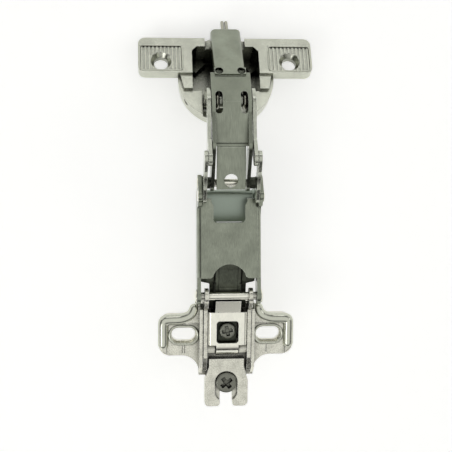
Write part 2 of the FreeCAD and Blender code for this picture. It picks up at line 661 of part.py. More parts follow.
def make_arm_pivot_pin():
    """Through pin of the inner lever, riveted over both arm walls."""
    reach = ARM_HALF
    pin = [rod(PIVOT_A, PIN_A_R, -reach, reach)]
    pin += both(cone_rod(PIVOT_A, PIN_A_R + RIVET_HEAD_RIM, PIN_A_R + RIVET_HEAD_TOP, reach,
                         reach + HEAD_RISE))
    return fused(pin)


def make_bush():
    """Conical spacer on the pivot pin between the lever and the arm wall."""
    start = LEVER_OUTSIDE + 0.1
    waist = OUTER_OUTSIDE + LAYER_GAP
    bush = fused([rod(PIVOT_A, BUSH_R, start, waist),
                  cone_rod(PIVOT_A, BUSH_R, BUSH_BASE_R, waist, ARM_INSIDE)])
    return cut(bush, [rod(PIVOT_A, PIN_A_R, start - 1, ARM_INSIDE + 1)])


def make_guide_link():
    """Straight link between the arm wall and the tail of the outer lever."""
    link = hull_plate(PIVOT_B, EYE_B_R, PIVOT_G, EYE_B_R, GUIDE_INSIDE, GUIDE_OUTSIDE)
    middle = plus(PIVOT_B, (CRANK[0] / 2, CRANK[1] / 2))
    side = turned((0.0, 1.0), CRANK_ANGLE)
    waist = []
    away = GUIDE_WAIST_R + GUIDE_HALF
    for sign in (1, -1):
        centre = plus(middle, (side[0] * sign * away, side[1] * sign * away))
        waist.append(bore(centre, GUIDE_WAIST_R, GUIDE_INSIDE, GUIDE_OUTSIDE))
    eyes = [bore(p, PIN_B_R + FIT, GUIDE_INSIDE, GUIDE_OUTSIDE) for p in (PIVOT_B, PIVOT_G)]
    return cut(link, waist + eyes)


def make_guide_rivet():
    """Rivet of the guide link in the arm wall."""
    return fused([rod(PIVOT_B, PIN_B_R, GUIDE_INSIDE, ARM_HALF),
                  cone_rod(PIVOT_B, PIN_B_R + RIVET_HEAD_RIM, PIN_B_R + RIVET_HEAD_TOP, ARM_HALF,
                           ARM_HALF + HEAD_RISE)])


def make_guide_end_rivet():
    """Flush rivet that joins the guide link to the outer lever."""
    return rod(PIVOT_G, PIN_B_R, OUTER_INSIDE, GUIDE_OUTSIDE)


def make_outer_lever():
    """Sickle-shaped lever plate that hooks round the arm pivot when the door is shut."""
    x0 = OUTER_INSIDE
    x1 = OUTER_OUTSIDE
    centre = plus(PIVOT_C, turned((-CRANK[0], -CRANK[1]), OPEN_ANGLE))
    tangents = []
    for point, sign in ((PIVOT_C, 1), (PIVOT_D, -1)):
        to = minus(centre, point)
        distance = math.hypot(*to)
        lean = math.degrees(math.asin(HOOK_R / distance)) * sign
        reach = math.sqrt(distance ** 2 - HOOK_R ** 2)
        tangents.append(plus(point, turned((to[0] / distance * reach, to[1] / distance * reach),
                                           lean)))
    first, last = tangents
    a0 = math.degrees(math.atan2(first[1] - centre[1], first[0] - centre[0]))
    a1 = math.degrees(math.atan2(last[1] - centre[1], last[0] - centre[0]))
    am = (a0 + a1) / 2
    wide = HOOK_R + OUTER_HALF
    slim = HOOK_R - OUTER_HALF
    hook = side_prism([plus(centre, turned((wide, 0), a0)),
                       (plus(centre, turned((wide, 0), am)), plus(centre, turned((wide, 0), a1))),
                       plus(centre, turned((slim, 0), a1)),
                       (plus(centre, turned((slim, 0), am)), plus(centre, turned((slim, 0), a0)))],
                      x0, x1)
    lever = fused([hook, strap(PIVOT_C, first, OUTER_HALF, x0, x1),
                   strap(last, PIVOT_D, OUTER_HALF, x0, x1), rod(PIVOT_C, EYE_C_R, x0, x1),
                   rod(PIVOT_D, EYE_D_R, x0, x1),
                   hull_plate(PIVOT_C, EYE_C_R, PIVOT_G, EYE_B_R, x0, x1)])
    return cut(lever, [bore(PIVOT_C, PIN_C_R + FIT, x0, x1), bore(PIVOT_D, PIN_D_R + FIT, x0, x1),
                       bore(PIVOT_G, PIN_B_R, x0, x1)])


def make_cross_rivet():
    """Rivet that joins the inner lever to one outer lever."""
    return rod(PIVOT_C, PIN_C_R, LEVER_INSIDE, OUTER_OUTSIDE)


def make_inner_lever():
    """Pressed lever: back plate, side walls with eyes, and the rounded end cap."""
    t = LEVER_SHEET
    rear = (TONGUE_END, PLATE_TOP_REAR)
    bend = (PLATE_BEND, PLATE_TOP_FRONT)
    plate = side_prism([rear, bend, (PLATE_BEND, PLATE_TOP_FRONT - t),
                        (TONGUE_END, PLATE_TOP_REAR - t)], -LEVER_OUTSIDE, LEVER_OUTSIDE)
    dive = minus(SADDLE, bend)
    size = math.hypot(*dive)
    normal = (dive[1] / size * t, -dive[0] / size * t)
    knee = (PLATE_BEND - 0.3, PLATE_TOP_FRONT - t)
    slope = side_prism([bend, SADDLE, plus(SADDLE, normal), knee], -LEVER_OUTSIDE, LEVER_OUTSIDE)
    wall = fused([hull_plate(PIVOT_A, EYE_A_R, PIVOT_C, EYE_C_R, LEVER_INSIDE, LEVER_OUTSIDE),
                  hull_plate(PIVOT_C, EYE_C_R, PIVOT_E, EYE_E_R, LEVER_INSIDE, LEVER_OUTSIDE),
                  side_prism([(TONGUE_STEP, PLATE_TOP_REAR - 0.25), bend, SADDLE,
                              plus(SADDLE, (-2.2, -3.4)), plus(PIVOT_E, (2.0, -2.8)), PIVOT_E,
                              (PLATE_BEND - 8, 10.0), (TONGUE_STEP, 12.2)],
                             LEVER_INSIDE, LEVER_OUTSIDE)])
    gap = box(TONGUE_HALF, LEVER_OUTSIDE + 1, TONGUE_END - 1, TONGUE_STEP, 13.2, 17)
    plate = cut(plate, both(gap))
    lever = fused([plate, slope] + both(wall))
    cap_dir = minus(CAP_TIP, CAP_START)
    cap_size = math.hypot(*cap_dir)
    unit = (cap_dir[0] / cap_size, cap_dir[1] / cap_size)
    down = (unit[1], -unit[0])
    section = [(-CAP_HALF, -CAP_SIDE), (-CAP_HALF, -CAP_EDGE_R),
               ((-CAP_HALF + CAP_EDGE_R * 0.293, -CAP_EDGE_R * 0.293),
                (-CAP_HALF + CAP_EDGE_R, 0)),
               (CAP_HALF - CAP_EDGE_R, 0),
               ((CAP_HALF - CAP_EDGE_R * 0.293, -CAP_EDGE_R * 0.293), (CAP_HALF, -CAP_EDGE_R)),
               (CAP_HALF, -CAP_SIDE), (CAP_HALF - t, -CAP_SIDE), (CAP_HALF - t, -CAP_EDGE_R),
               (CAP_HALF - CAP_EDGE_R, -t), (-CAP_HALF + CAP_EDGE_R, -t),
               (-CAP_HALF + t, -CAP_EDGE_R), (-CAP_HALF + t, -CAP_SIDE)]
    face = outline(section, lambda p: FreeCAD.Vector(p[0], CAP_START[0] - down[0] * p[1],
                                                     CAP_START[1] - down[1] * p[1]))
    cap = face.extrude(FreeCAD.Vector(0, cap_dir[0], cap_dir[1]))
    trim = side_prism([plus(CAP_START, (-4, 2)), plus(CAP_START, (0.4, 0.2)),
                       plus(CAP_START, (0.9, -1.3)), plus(SADDLE, (2.0, -3.2)),
                       plus(SADDLE, (-6, -5))], -CAP_HALF - 1, CAP_HALF + 1)
    bridge = side_prism([along(SADDLE, bend, 1.4), plus(CAP_START, (0.35, -0.25)),
                         plus(CAP_START, (2.4, -2.9)), plus(CAP_START, (1.0, -3.6)),
                         plus(SADDLE, (-1.8, -0.6))], -CAP_HALF, CAP_HALF)
    lever = fused([lever, cap.cut(trim), bridge])
    tools = [post(0, SIGHT_HOLE_Y, SIGHT_HOLE_R, 11, 18)]
    tools += both(rounded_top_prism(LEVER_SLOT_INNER, LEVER_INSIDE, LEVER_SLOT_FROM,
                                    LEVER_SLOT_TO, 1.2, 8.5, 17))
    for x in (-4.0, 4.0):
        tools.append(Part.makeCylinder(1.5, 3.0, FreeCAD.Vector(x, SADDLE[0] + 0.1,
                                                                SADDLE[1] - 1.5),
                                       FreeCAD.Vector(0, 0.35, 1)))
    for point, r in ((PIVOT_A, PIN_A_R + FIT), (PIVOT_C, PIN_C_R), (PIVOT_E, PIN_E_R)):
        tools.append(rod(point, r, -LEVER_OUTSIDE - 1, LEVER_OUTSIDE + 1))
    return cut(lever, tools)


def make_link_pin():
    return rod(PIVOT_E, PIN_E_R, -LEVER_OUTSIDE, LEVER_OUTSIDE)


def wire_run(points, radius):
    """A round wire through points in space, with rounded corners."""
    pieces = []
    for a, b in zip(points, points[1:]):
        pieces.append(Part.makeCylinder(radius, (b - a).Length, a, b - a))
    for p in points[1:-1]:
        pieces.append(Part.makeSphere(radius, p))
    return fused(pieces)


def coil_ring(x, point, ring_r, wire_r):
    """A closed ring of wire round a pivot along X, its section a regular polygon."""
    section = []
    for i in range(COIL_SIDES):
        a = 2 * math.pi * i / COIL_SIDES
        section.append(FreeCAD.Vector(x + wire_r * math.cos(a),
                                      point[0] + ring_r + wire_r * math.sin(a), point[1]))
    face = Part.Face(Part.makePolygon(section + [section[0]]))
    return face.revolve(FreeCAD.Vector(x, point[0], point[1]), FreeCAD.Vector(1, 0, 0), 360)


def make_lever_spring():
    """Double torsion spring: a coil beside each fork plate and two prongs along the cap."""
    away = minus(PIVOT_F, PIVOT_E)
    size = math.hypot(*away)
    run = (away[0] / size, away[1] / size)
    rise = (-run[1], run[0])
    coil_x = (LINK_OUTSIDE + LEVER_INSIDE) / 2
    cap_dir = minus(CAP_TIP, CAP_START)
    cap_size = math.hypot(*cap_dir)
    cap_run = (cap_dir[0] / cap_size, cap_dir[1] / cap_size)
    under = LEVER_SHEET + WIRE_R + WIRE_UNDER_CAP
    tip = plus(CAP_TIP, (cap_run[1] * under, -cap_run[0] * under))
    end = plus(tip, (cap_run[0] * PRONG_REACH, cap_run[1] * PRONG_REACH))
    leg = []
    for reach, lift in SPRING_LEG:
        leg.append(plus(PIVOT_E, (run[0] * reach + rise[0] * lift, run[1] * reach + rise[1] * lift)))
    route = [(coil_x, plus(PIVOT_E, (rise[0] * COIL_R, rise[1] * COIL_R))),
             (coil_x - WIRE_UNDER_CAP, leg[0]),
             (CAP_HALF - LEVER_SHEET - WIRE_R - LAYER_GAP, leg[1]),
             (PRONG_HALF, tip), (PRONG_HALF, end)]
    halves = []
    for side in (-1, 1):
        points = [FreeCAD.Vector(side * x, p[0], p[1]) for x, p in route]
        coil = coil_ring(side * coil_x, PIVOT_E, COIL_R, WIRE_R)
        halves.append(fused([coil, wire_run(points, WIRE_R)]))
    tie = Part.makeCylinder(PRONG_TIE_R, 2 * PRONG_HALF,
                            FreeCAD.Vector(-PRONG_HALF, tip[0], tip[1]),
                            FreeCAD.Vector(1, 0, 0))
    return fused(halves + [tie])


def make_cup_link():
    """Forked link between the inner lever and the lug in the cup."""
    plates = hull_plate(PIVOT_E, EYE_F_R, PIVOT_F, EYE_F_R, LINK_INSIDE, LINK_OUTSIDE)
    web = strap(along(PIVOT_F, PIVOT_E, LINK_WEB_TO), along(PIVOT_E, PIVOT_F, LINK_WEB_FROM),
                LINK_WEB_HALF, -LINK_INSIDE - LINK_SHEET / 2, LINK_INSIDE + LINK_SHEET / 2)
    link = fused([web] + both(plates))
    return cut(link, [bore(PIVOT_E, PIN_E_R + FIT, -LINK_OUTSIDE, LINK_OUTSIDE),
                      bore(PIVOT_F, PIN_F_R + FIT, -LINK_OUTSIDE, LINK_OUTSIDE)])


def make_cup_link_pin():
    return rod(PIVOT_F, PIN_F_R, -LINK_OUTSIDE, LINK_OUTSIDE)


def make_cup_pin():
    """Stub pin of one outer lever, pressed into the cup's wall and a little sunk there."""
    pin = rod(PIVOT_D, PIN_D_R, OUTER_INSIDE, CUP_R)
    end = CUP_R - CUP_PIN_SINK
    return pin.common(cup_post(0, 0, end, end, 0, CUP_STRAIGHT))


def cup_place(x, u, v):
    p = cup_point(u, v)
    return FreeCAD.Vector(x, p[0], p[1])


def cup_axis():
    return cup_place(0, 0, 1) - cup_place(0, 0, 0)


def cup_block(x0, x1, u0, u1, v0, v1):
    return side_prism([cup_point(u0, v0), cup_point(u1, v0), cup_point(u1, v1),
                       cup_point(u0, v1)], x0, x1)


def cup_post(x, u, r0, r1, v0, v1):
    """A round boss or hole along the cup's depth, with its radius at each end."""
    if abs(r0 - r1) < 1e-9:
        return Part.makeCylinder(r0, v1 - v0, cup_place(x, u, v0), cup_axis())
    return Part.makeCone(r0, r1, v1 - v0, cup_place(x, u, v0), cup_axis())


def cup_prism(steps, v0, v1):
    """An outline in (x, u) with thickness along the cup's depth."""
    face = outline(steps, lambda p: cup_place(p[0], p[1], v0))
    return face.extrude(cup_axis() * (v1 - v0))


def make_cup_body():
    """Cast cup with its flange, open on the arm side, and the lug of the cup link."""
    shell = fused([cup_post(0, 0, COLLAR_R, COLLAR_R, RIM_LEVEL, FLANGE_THICK),
                   cup_post(0, 0, CUP_R, CUP_R, FLANGE_THICK, CUP_STRAIGHT),
                   cup_post(0, 0, CUP_R, CUP_BASE_R, CUP_STRAIGHT, CUP_DEPTH)])
    half = FLANGE_HALF
    r = FLANGE_CORNER
    k = r * (1 - math.sqrt(0.5))
    n = FLANGE_NEAR
    f = FLANGE_FAR
    flange = cup_prism([(-half + r, n), (half - r, n), ((half - k, n + k), (half, n + r)),
                        (half, f - r), ((half - k, f - k), (half - r, f)), (-half + r, f),
                        ((-half + k, f - k), (-half, f - r)), (-half, n + r),
                        ((-half + k, n + k), (-half + r, n))], 0, FLANGE_THICK)
    inner_block = math.sqrt(CUP_R ** 2 - BLOCK_NEAR ** 2)
    step_block = cup_prism([(CAVITY_HALF - 1, BLOCK_NEAR), (inner_block - 1.0, BLOCK_NEAR),
                            (CUP_R - 0.3, n + 1), (CAVITY_HALF - 1, n + 1)], BLOCK_LEVEL,
                           RIM_LEVEL + 1)
    body = fused([shell, flange] + both(step_block))
    c = CAVITY_CHAMFER
    far = CAVITY_FAR
    wide = CAVITY_HALF
    slim = CAVITY_NEAR_HALF
    near = CAVITY_NEAR
    step = CAVITY_STEP
    b = CAVITY_BEVEL
    cavity = cup_prism([(-slim, near + b), (-slim + b, near), (slim - b, near),
                        (slim, near + b), (slim, step), (wide, step), (wide, far - c),
                        (wide - c, far), (-wide + c, far), (-wide, far - c), (-wide, step),
                        (-slim, step)], -1, CUP_DEPTH - CUP_FLOOR)
    recess = cup_block(-RECESS_HALF, RECESS_HALF, far - 1, f + 1, -1, RECESS_DEPTH)
    mouth = cup_block(-slim, slim, -CUP_R - 1, near + CAVITY_BEVEL + 0.2, -1,
                      RIM_LEVEL + MOUTH_DROP)
    tools = [cavity, recess, mouth]
    ribs = []
    for side in (-1, 1):
        x = side * EAR_PITCH / 2
        p = PAD_HALF_WIDTH
        tools.append(cup_prism([(x - p, PAD_NEAR), (x + p, PAD_NEAR), (x + p, PAD_FAR),
                                (x - p, PAD_FAR)], -1, PAD_DEPTH))
        tools.append(cup_post(x, EAR_U, EAR_HOLE_R, EAR_HOLE_R, -1, FLANGE_THICK + 1))
        tools.append(cup_post(x, EAR_U, EAR_SINK_R, EAR_HOLE_R, PAD_DEPTH - 0.02,
                              PAD_DEPTH + EAR_SINK_DEPTH))
        tools.append(cup_post(x, EAR_U, EAR_SINK_R, EAR_SINK_R, -1, PAD_DEPTH))
        pitch = 2 * p / RIB_COUNT
        for i in range(RIB_COUNT):
            xr = x - p + (i + 0.5) * pitch
            ribs.append(cup_block(xr - pitch * 0.25, xr + pitch * 0.25, PAD_NEAR, PAD_FAR,
                                  PAD_DEPTH - RIB_RISE, PAD_DEPTH + 0.1))
    body = cut(body, tools)
    keep_out = []
    for side in (-1, 1):
        keep_out.append(cup_post(side * EAR_PITCH / 2, EAR_U, EAR_SINK_R, EAR_SINK_R, -1, 2))
    ribs = Part.Compound(ribs).cut(Part.Compound(keep_out))
    body = body.fuse(ribs).removeSplitter()
    eye_near = PIVOT_F_CUP[0] - EYE_F_R + 0.1
    lug = fused([rod(PIVOT_F, EYE_F_R - 0.1, -LUG_HALF, LUG_HALF),
                 side_prism([cup_point(eye_near, PIVOT_F_CUP[1]),
                             cup_point(LUG_FOOT_U, LUG_FOOT_V),
                             cup_point(far + 0.5, LUG_BACK_V[1]),
                             cup_point(far + 0.5, LUG_BACK_V[0]),
                             cup_point(PIVOT_F_CUP[0] + EYE_F_R - 0.1, PIVOT_F_CUP[1])],
                            -LUG_HALF, LUG_HALF)])
    body = body.fuse(lug).removeSplitter()
    tools = [rod(PIVOT_F, PIN_F_R, -LUG_HALF - 1, LUG_HALF + 1)]
    reach = CUP_R + 1
    tools += both(rod(PIVOT_D, PIN_D_R, CAVITY_NEAR_HALF - 1, reach))
    return cut(body, tools)


def write(name, shape):
    """Write one piece as its own file."""
    shape.exportStep("parts/" + name + ".step")
    print(name, shape.ShapeType, len(shape.Solids), round(shape.Volume, 2), shape.isValid())


def write_pair(name, shape):
    write(name + "_right", shape)
    write(name + "_left", mirrored(shape))


def main():
    os.makedirs("parts", exist_ok=True)
    write("mounting_plate", make_mounting_plate())
    write("fixing_screw", make_fixing_screw())
    write("slide_bracket", make_slide_bracket())
    write("clip_plate", make_clip_plate())
    write("side_screw", make_side_screw())
    write("arm_axle", make_arm_axle())
    write("arm_channel", make_arm_channel())
    write("tilt_lever", make_tilt_lever())
    write("arm_pivot_pin", make_arm_pivot_pin())
    write_pair("pivot_bush", make_bush())
    write_pair("guide_link", make_guide_link())
    write_pair("guide_rivet", make_guide_rivet())
    write_pair("guide_end_rivet", make_guide_end_rivet())
    write("inner_lever", make_inner_lever())
    write_pair("cross_rivet", make_cross_rivet())
    write("link_pin", make_link_pin())
    write("lever_spring", make_lever_spring())
    write("cup_link", make_cup_link())
    write_pair("outer_lever", make_outer_lever())
    write_pair("cup_pin", make_cup_pin())
    write("cup_link_pin", make_cup_link_pin())
    write("cup_body", make_cup_body())


main()
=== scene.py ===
import json
import math
import bpy
import numpy as np
from mathutils import Matrix, Vector


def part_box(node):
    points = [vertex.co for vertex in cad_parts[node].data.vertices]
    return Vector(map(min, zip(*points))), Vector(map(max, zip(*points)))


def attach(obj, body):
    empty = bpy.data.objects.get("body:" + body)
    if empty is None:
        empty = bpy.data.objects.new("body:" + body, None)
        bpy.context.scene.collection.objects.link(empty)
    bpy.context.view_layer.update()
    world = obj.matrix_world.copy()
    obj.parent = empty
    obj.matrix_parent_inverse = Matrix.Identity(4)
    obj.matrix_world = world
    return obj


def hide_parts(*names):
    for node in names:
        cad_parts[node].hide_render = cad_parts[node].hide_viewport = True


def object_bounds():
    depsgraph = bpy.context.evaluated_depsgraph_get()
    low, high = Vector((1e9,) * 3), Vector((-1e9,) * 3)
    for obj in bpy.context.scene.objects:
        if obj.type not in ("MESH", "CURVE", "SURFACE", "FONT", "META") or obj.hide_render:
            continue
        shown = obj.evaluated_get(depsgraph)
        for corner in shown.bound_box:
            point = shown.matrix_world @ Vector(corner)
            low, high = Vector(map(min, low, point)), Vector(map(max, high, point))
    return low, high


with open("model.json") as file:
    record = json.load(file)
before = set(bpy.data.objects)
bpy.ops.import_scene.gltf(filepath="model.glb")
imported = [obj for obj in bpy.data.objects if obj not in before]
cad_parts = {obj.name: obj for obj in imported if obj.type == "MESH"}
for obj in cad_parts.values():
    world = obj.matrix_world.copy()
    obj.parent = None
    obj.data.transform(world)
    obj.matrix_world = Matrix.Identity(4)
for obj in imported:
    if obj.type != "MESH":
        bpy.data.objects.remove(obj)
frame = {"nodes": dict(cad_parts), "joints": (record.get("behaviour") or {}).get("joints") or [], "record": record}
CAD_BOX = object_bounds()

bl_info = {
    "name": "Concealed cup hinge",
    "version": (1, 0, 0),
    "blender": (4, 5, 0),
    "location": "3D View > Sidebar > Cup hinge",
    "description": "Finishes, screws, rivets, spring and studio of a concealed cup hinge",
    "category": "Object",
}

# Lengths below are millimetres of the real hinge. X runs along the pivots, Y out of the cabinet
# and Z away from its wall, and a point of the side view is written (y, z).
MM = 0.001
SHARP_EDGE = math.radians(38)

# Mounts of the hinge. The cup's own mount lies CUP_MOUNT_DEPTH into the door.
MOUNTS = {mount["name"]: mount for mount in frame["record"]["mounts"]}
SLOT_X = MOUNTS["wing_slots"]["dims"]["spacing_x_mm"] / 2
EAR_X = MOUNTS["ear_hole_right"]["pos_m"][0] / MM
CUP_MOUNT_DEPTH = 6.0
INTO_DOOR = np.array(MOUNTS["cup_outside"]["axis"])
ALONG_DOOR = np.array([0.0, -INTO_DOOR[2], INTO_DOOR[1]])
CUP_MIDDLE = np.array(MOUNTS["cup_outside"]["pos_m"]) - CUP_MOUNT_DEPTH * MM * INTO_DOOR

# Riveted pins: shank and head radius, and how thick the head is
AXLE = (1.5, 2.6, 0.9)
ARM_PIVOT = (1.4, 2.3, 0.4)
GUIDE_RIVET = (1.2, 2.1, 0.4)
HEAD_TOP_SHARE = 0.45
GUIDE_TOP_R = 1.0
DIMPLE_SHARE = 0.35
# Dimple in a head's top: share of its depth, and share of the radius of the top
DIMPLE_LINE = ((0.4, 0.55), (1.0, 0.3), (1.0, 0.0))
PIN_STEP = 0.25

# Screws: head radius and thickness, shank radius, and how far the cross is turned in degrees
FIXING_HEAD_R = 3.95
FIXING_HEAD_THICK = 2.2
FIXING_SHANK_R = 2.2
FIXING_TURN = 38
SIDE_HEAD_R = 3.0
SIDE_HEAD_THICK = 1.3
SIDE_SHANK_R = 1.78
SIDE_FOOT_LIFT = 1.3
SIDE_SPAN_SHARE = 0.8
SIDE_SLOT_SHARE = 0.85
SIDE_CROSS_DEPTH = 1.0
SIDE_TURN = 12
SCREW_AROUND = 192
SCREW_TOP_RINGS = 46
SCREW_TOP_START = 0.02
SCREW_FLAT_EDGE = 0.45
# Rim of a screw head: how far inside the head's radius, and how far below its top
SCREW_RIM = ((0.40, 0.13), (0.12, 0.26), (0.01, 0.55))
SCREW_UNDER_BEVEL = 0.1
SCREW_RIM_STEP = 0.2
SCREW_CROWN = 0.12
SCREW_SHANK_RINGS = 70
SCREW_NECK = 0.02
SCREW_TIP_BEVEL = 0.35
SCREW_TIP_SHARE = 0.5
THREAD_RUN_OUT = 0.5
CROSS_WALL = 0.09
CROSS_END_WALL = 4 * CROSS_WALL
CROSS_SLOT_SHARE = 0.8
CROSS_MIDDLE_SHARE = 1.5

# Lever spring: each coil about the link's pivot, then a leg to the end cap and a prong past it
COIL_R = 2.3
COIL_X = 4.95
COIL_TURN = 318
COIL_POINTS = 90
# Points of the leg: x, how far towards the cup's pin, and how far above that line
SPRING_LEG = ((4.72, 4.0, 3.1), (3.4, 9.0, 4.2))
CAP_START = np.array([97.6, 8.6])
CAP_TIP = np.array([113.3, -12.1])
PRONG_DROP = 2.25
PRONG_X = 0.74
SPRING_STEP = 0.25
SPRING_PASSES = 9

# Arm insert: half its width, its bend and sheet, its flanges, and its line in the side view
INSERT_HALF = 10.25
INSERT_CORNER = 1.2
INSERT_SHEET = 0.45
INSERT_FLANGE = 2.6
INSERT_BEND_POINTS = 7
INSERT_STEP = 0.3
INSERT_PASSES = 4
INSERT_LINE = ((43.2, 2.25), (52.0, 2.0), (53.9, 1.6), (54.25, 0.2), (54.3, -0.8))

# Tilt lever web: narrow between the bracket's ears, wide between the arm's walls
WEB_NARROW = 6.8
WEB_WIDE = 10.0
WEB_EARS_END = 20.8
WEB_WIDENING = 1.0
WEB_LINE = ((11.4, 7.7), (14.0, 8.7), (19.6, 8.7), (26.8, 10.2), (29.8, 10.9), (33.5, 10.4))
WEB_RIB = 4.6
WEB_SHOULDER = 0.7
WEB_FALL = 1.5
WEB_SHEET = 0.8
WEB_ROWS = 90
WEB_COLUMNS = 61

# Beads of the castings. The wing bead's line lies on the right wing, seen from above.
WING_LINE = ((11.7, 12.3), (12.0, 9.6), (13.6, 7.4), (17.0, 6.2), (23.7, 6.1), (23.7, -5.6))
WING_BEAD_LEVEL = 3.3
WING_STEP = 0.3
WING_PASSES = 24
WING_AROUND = 28
SLOT_RIM_HALF = (5.35, 3.5)
SLOT_RIM_CORNER = 3.45
SLOT_RIM_LEVEL = 3.45
SLOT_RIM_WIDE = 1.1
SLOT_RIM_RISE = 0.45
PAD_HALF = 7.9
PAD_NEAR = 1.9
PAD_FAR = 12.6
PAD_CORNER = 1.2
PAD_RIM_WIDE = 0.55
PAD_RIM_RISE = 0.22

# Corner fillers of the cup: a wedge between two turns, from one depth and outer radius to another
CORNER_FROM = 33
CORNER_TO = 57
CORNER_INNER_R = 12.4
CORNER_ROWS = 8
CORNER_COLUMNS = 12
CORNER_ENDS = ((9.6, 16.5), (11.75, 15.3))

# Studio, in metres and degrees
FLOOR_GAP = 0.0004
FLOOR_HALF = 2.0
FLOOR_POINTS = 41
FLOOR_FLAT = 0.8
FLOOR_CURL = 0.6
FLOOR_GLOW = 0.46
# Overhead light and horizon: from which rise of a ray to which, and the light at the two
SKY_BELTS = ((0.55, 0.95, 0.03, 0.88), (0.0, 0.25, 0.18, 0.0))
SKY_TINT = (1.0, 1.0, 0.985, 1.0)
LIT_MIDDLE = Vector((0.0, 0.045, 0.0))
# Boxes of light: place from the middle, width, height and radiance
LIGHT_BOXES = (("key_box", (-0.42, -0.35, 0.62), 0.34, 0.24, 2.6),
               ("fill_box", (0.60, 0.10, 0.50), 0.26, 0.26, 1.2),
               ("back_box", (0.05, 0.75, 0.42), 0.40, 0.16, 1.7))
CAMERA_TARGET = Vector((0.0003, 0.04025, -0.00432))
CAMERA_DISTANCE = 0.4005
CAMERA_TILT = 11.0
CAMERA_LEAN = 5.71
CAMERA_ROLL = -0.4
CAMERA_SENSOR = 36.0
# Focal length in pixels of a frame that is FRAME_PIXELS wide
FOCAL_PIXELS = 1060
FRAME_PIXELS = 452


def linear(code):
    """Linear colour of an sRGB hex value: each channel is (c + 0.055) / 1.055 to the power 2.4."""
    values = [int(code[i:i + 2], 16) / 255 for i in (1, 3, 5)]
    return tuple(v / 12.92 if v <= 0.04045 else ((v + 0.055) / 1.055) ** 2.4 for v in values)


def colour(label, code, words):
    """A colour of the finish, shown as a swatch."""
    return bpy.props.FloatVectorProperty(name=label, description=words, size=3, min=0.0, max=1.0,
                                         subtype="COLOR", default=linear(code))


def length(label, mm, words):
    """A length of the piece in millimetres of the real hinge."""
    return bpy.props.FloatProperty(name=label, description=words, default=mm * MM, min=0.0,
                                   unit="LENGTH", precision=5)


class HingeFinish(bpy.types.PropertyGroup):
    casting: colour("Plate casting", "#DCDBCE", "Nickel-plated zinc of plate and bracket")
    cup: colour("Cup casting", "#CACCBE", "Nickel-plated zinc of the cup, its flange and beads")
    satin: colour("Pressed steel", "#8D9284", "Satin nickel-plated steel of arm and levers")
    # The side tint is brighter to paint the light the lever plates catch
    side: colour("Lever plates", "#BDC0B3", "Brighter steel of the side levers and links")
    # The insert's grey is partly painted shade seen through the arm's notch
    insert: colour("Arm insert", "#949E93", "Even grey steel of the insert under the arm")
    bright: colour("Bright steel", "#F2F1E4", "Bright nickel-plated steel of clip and rivets")
    # The dark tint is partly painted shade inside the arm
    dark: colour("Dark steel", "#666A5E", "Dark plated steel inside the arm")
    screw: colour("Screw steel", "#7E7F75", "Plated steel of the two screws")
    wire: colour("Spring wire", "#A7A699", "Drawn wire of the lever spring")
    floor: colour("Floor", "#F7F7F5", "Pale studio floor")


class HingeSizes(bpy.types.PropertyGroup):
    thread_pitch: length("Thread pitch", 0.8, "Rise of one turn of the screw threads")
    thread_depth: length("Thread depth", 0.3, "How deep the thread grooves are cut")
    cross_span: length("Cross span", 4.6, "Span of the fixing screw's cross recess")
    cross_slot: length("Cross slot", 1.5, "Width of one slot of the cross")
    cross_depth: length("Cross depth", 1.6, "Depth of the fixing screw's recess")
    wire_radius: length("Wire radius", 0.68, "Radius of the lever spring's wire")
    prong_reach: length("Prong reach", 7.6, "How far the spring's prongs reach past the cap")
    bead_half: length("Bead half width", 2.0, "Half the width of the wings' beads")
    bead_rise: length("Bead rise", 1.7, "Rise of the wings' beads over their middle line")
    edge_round: length("Edge rounding", 0.30, "Rounding that highlights every edge of the metal")
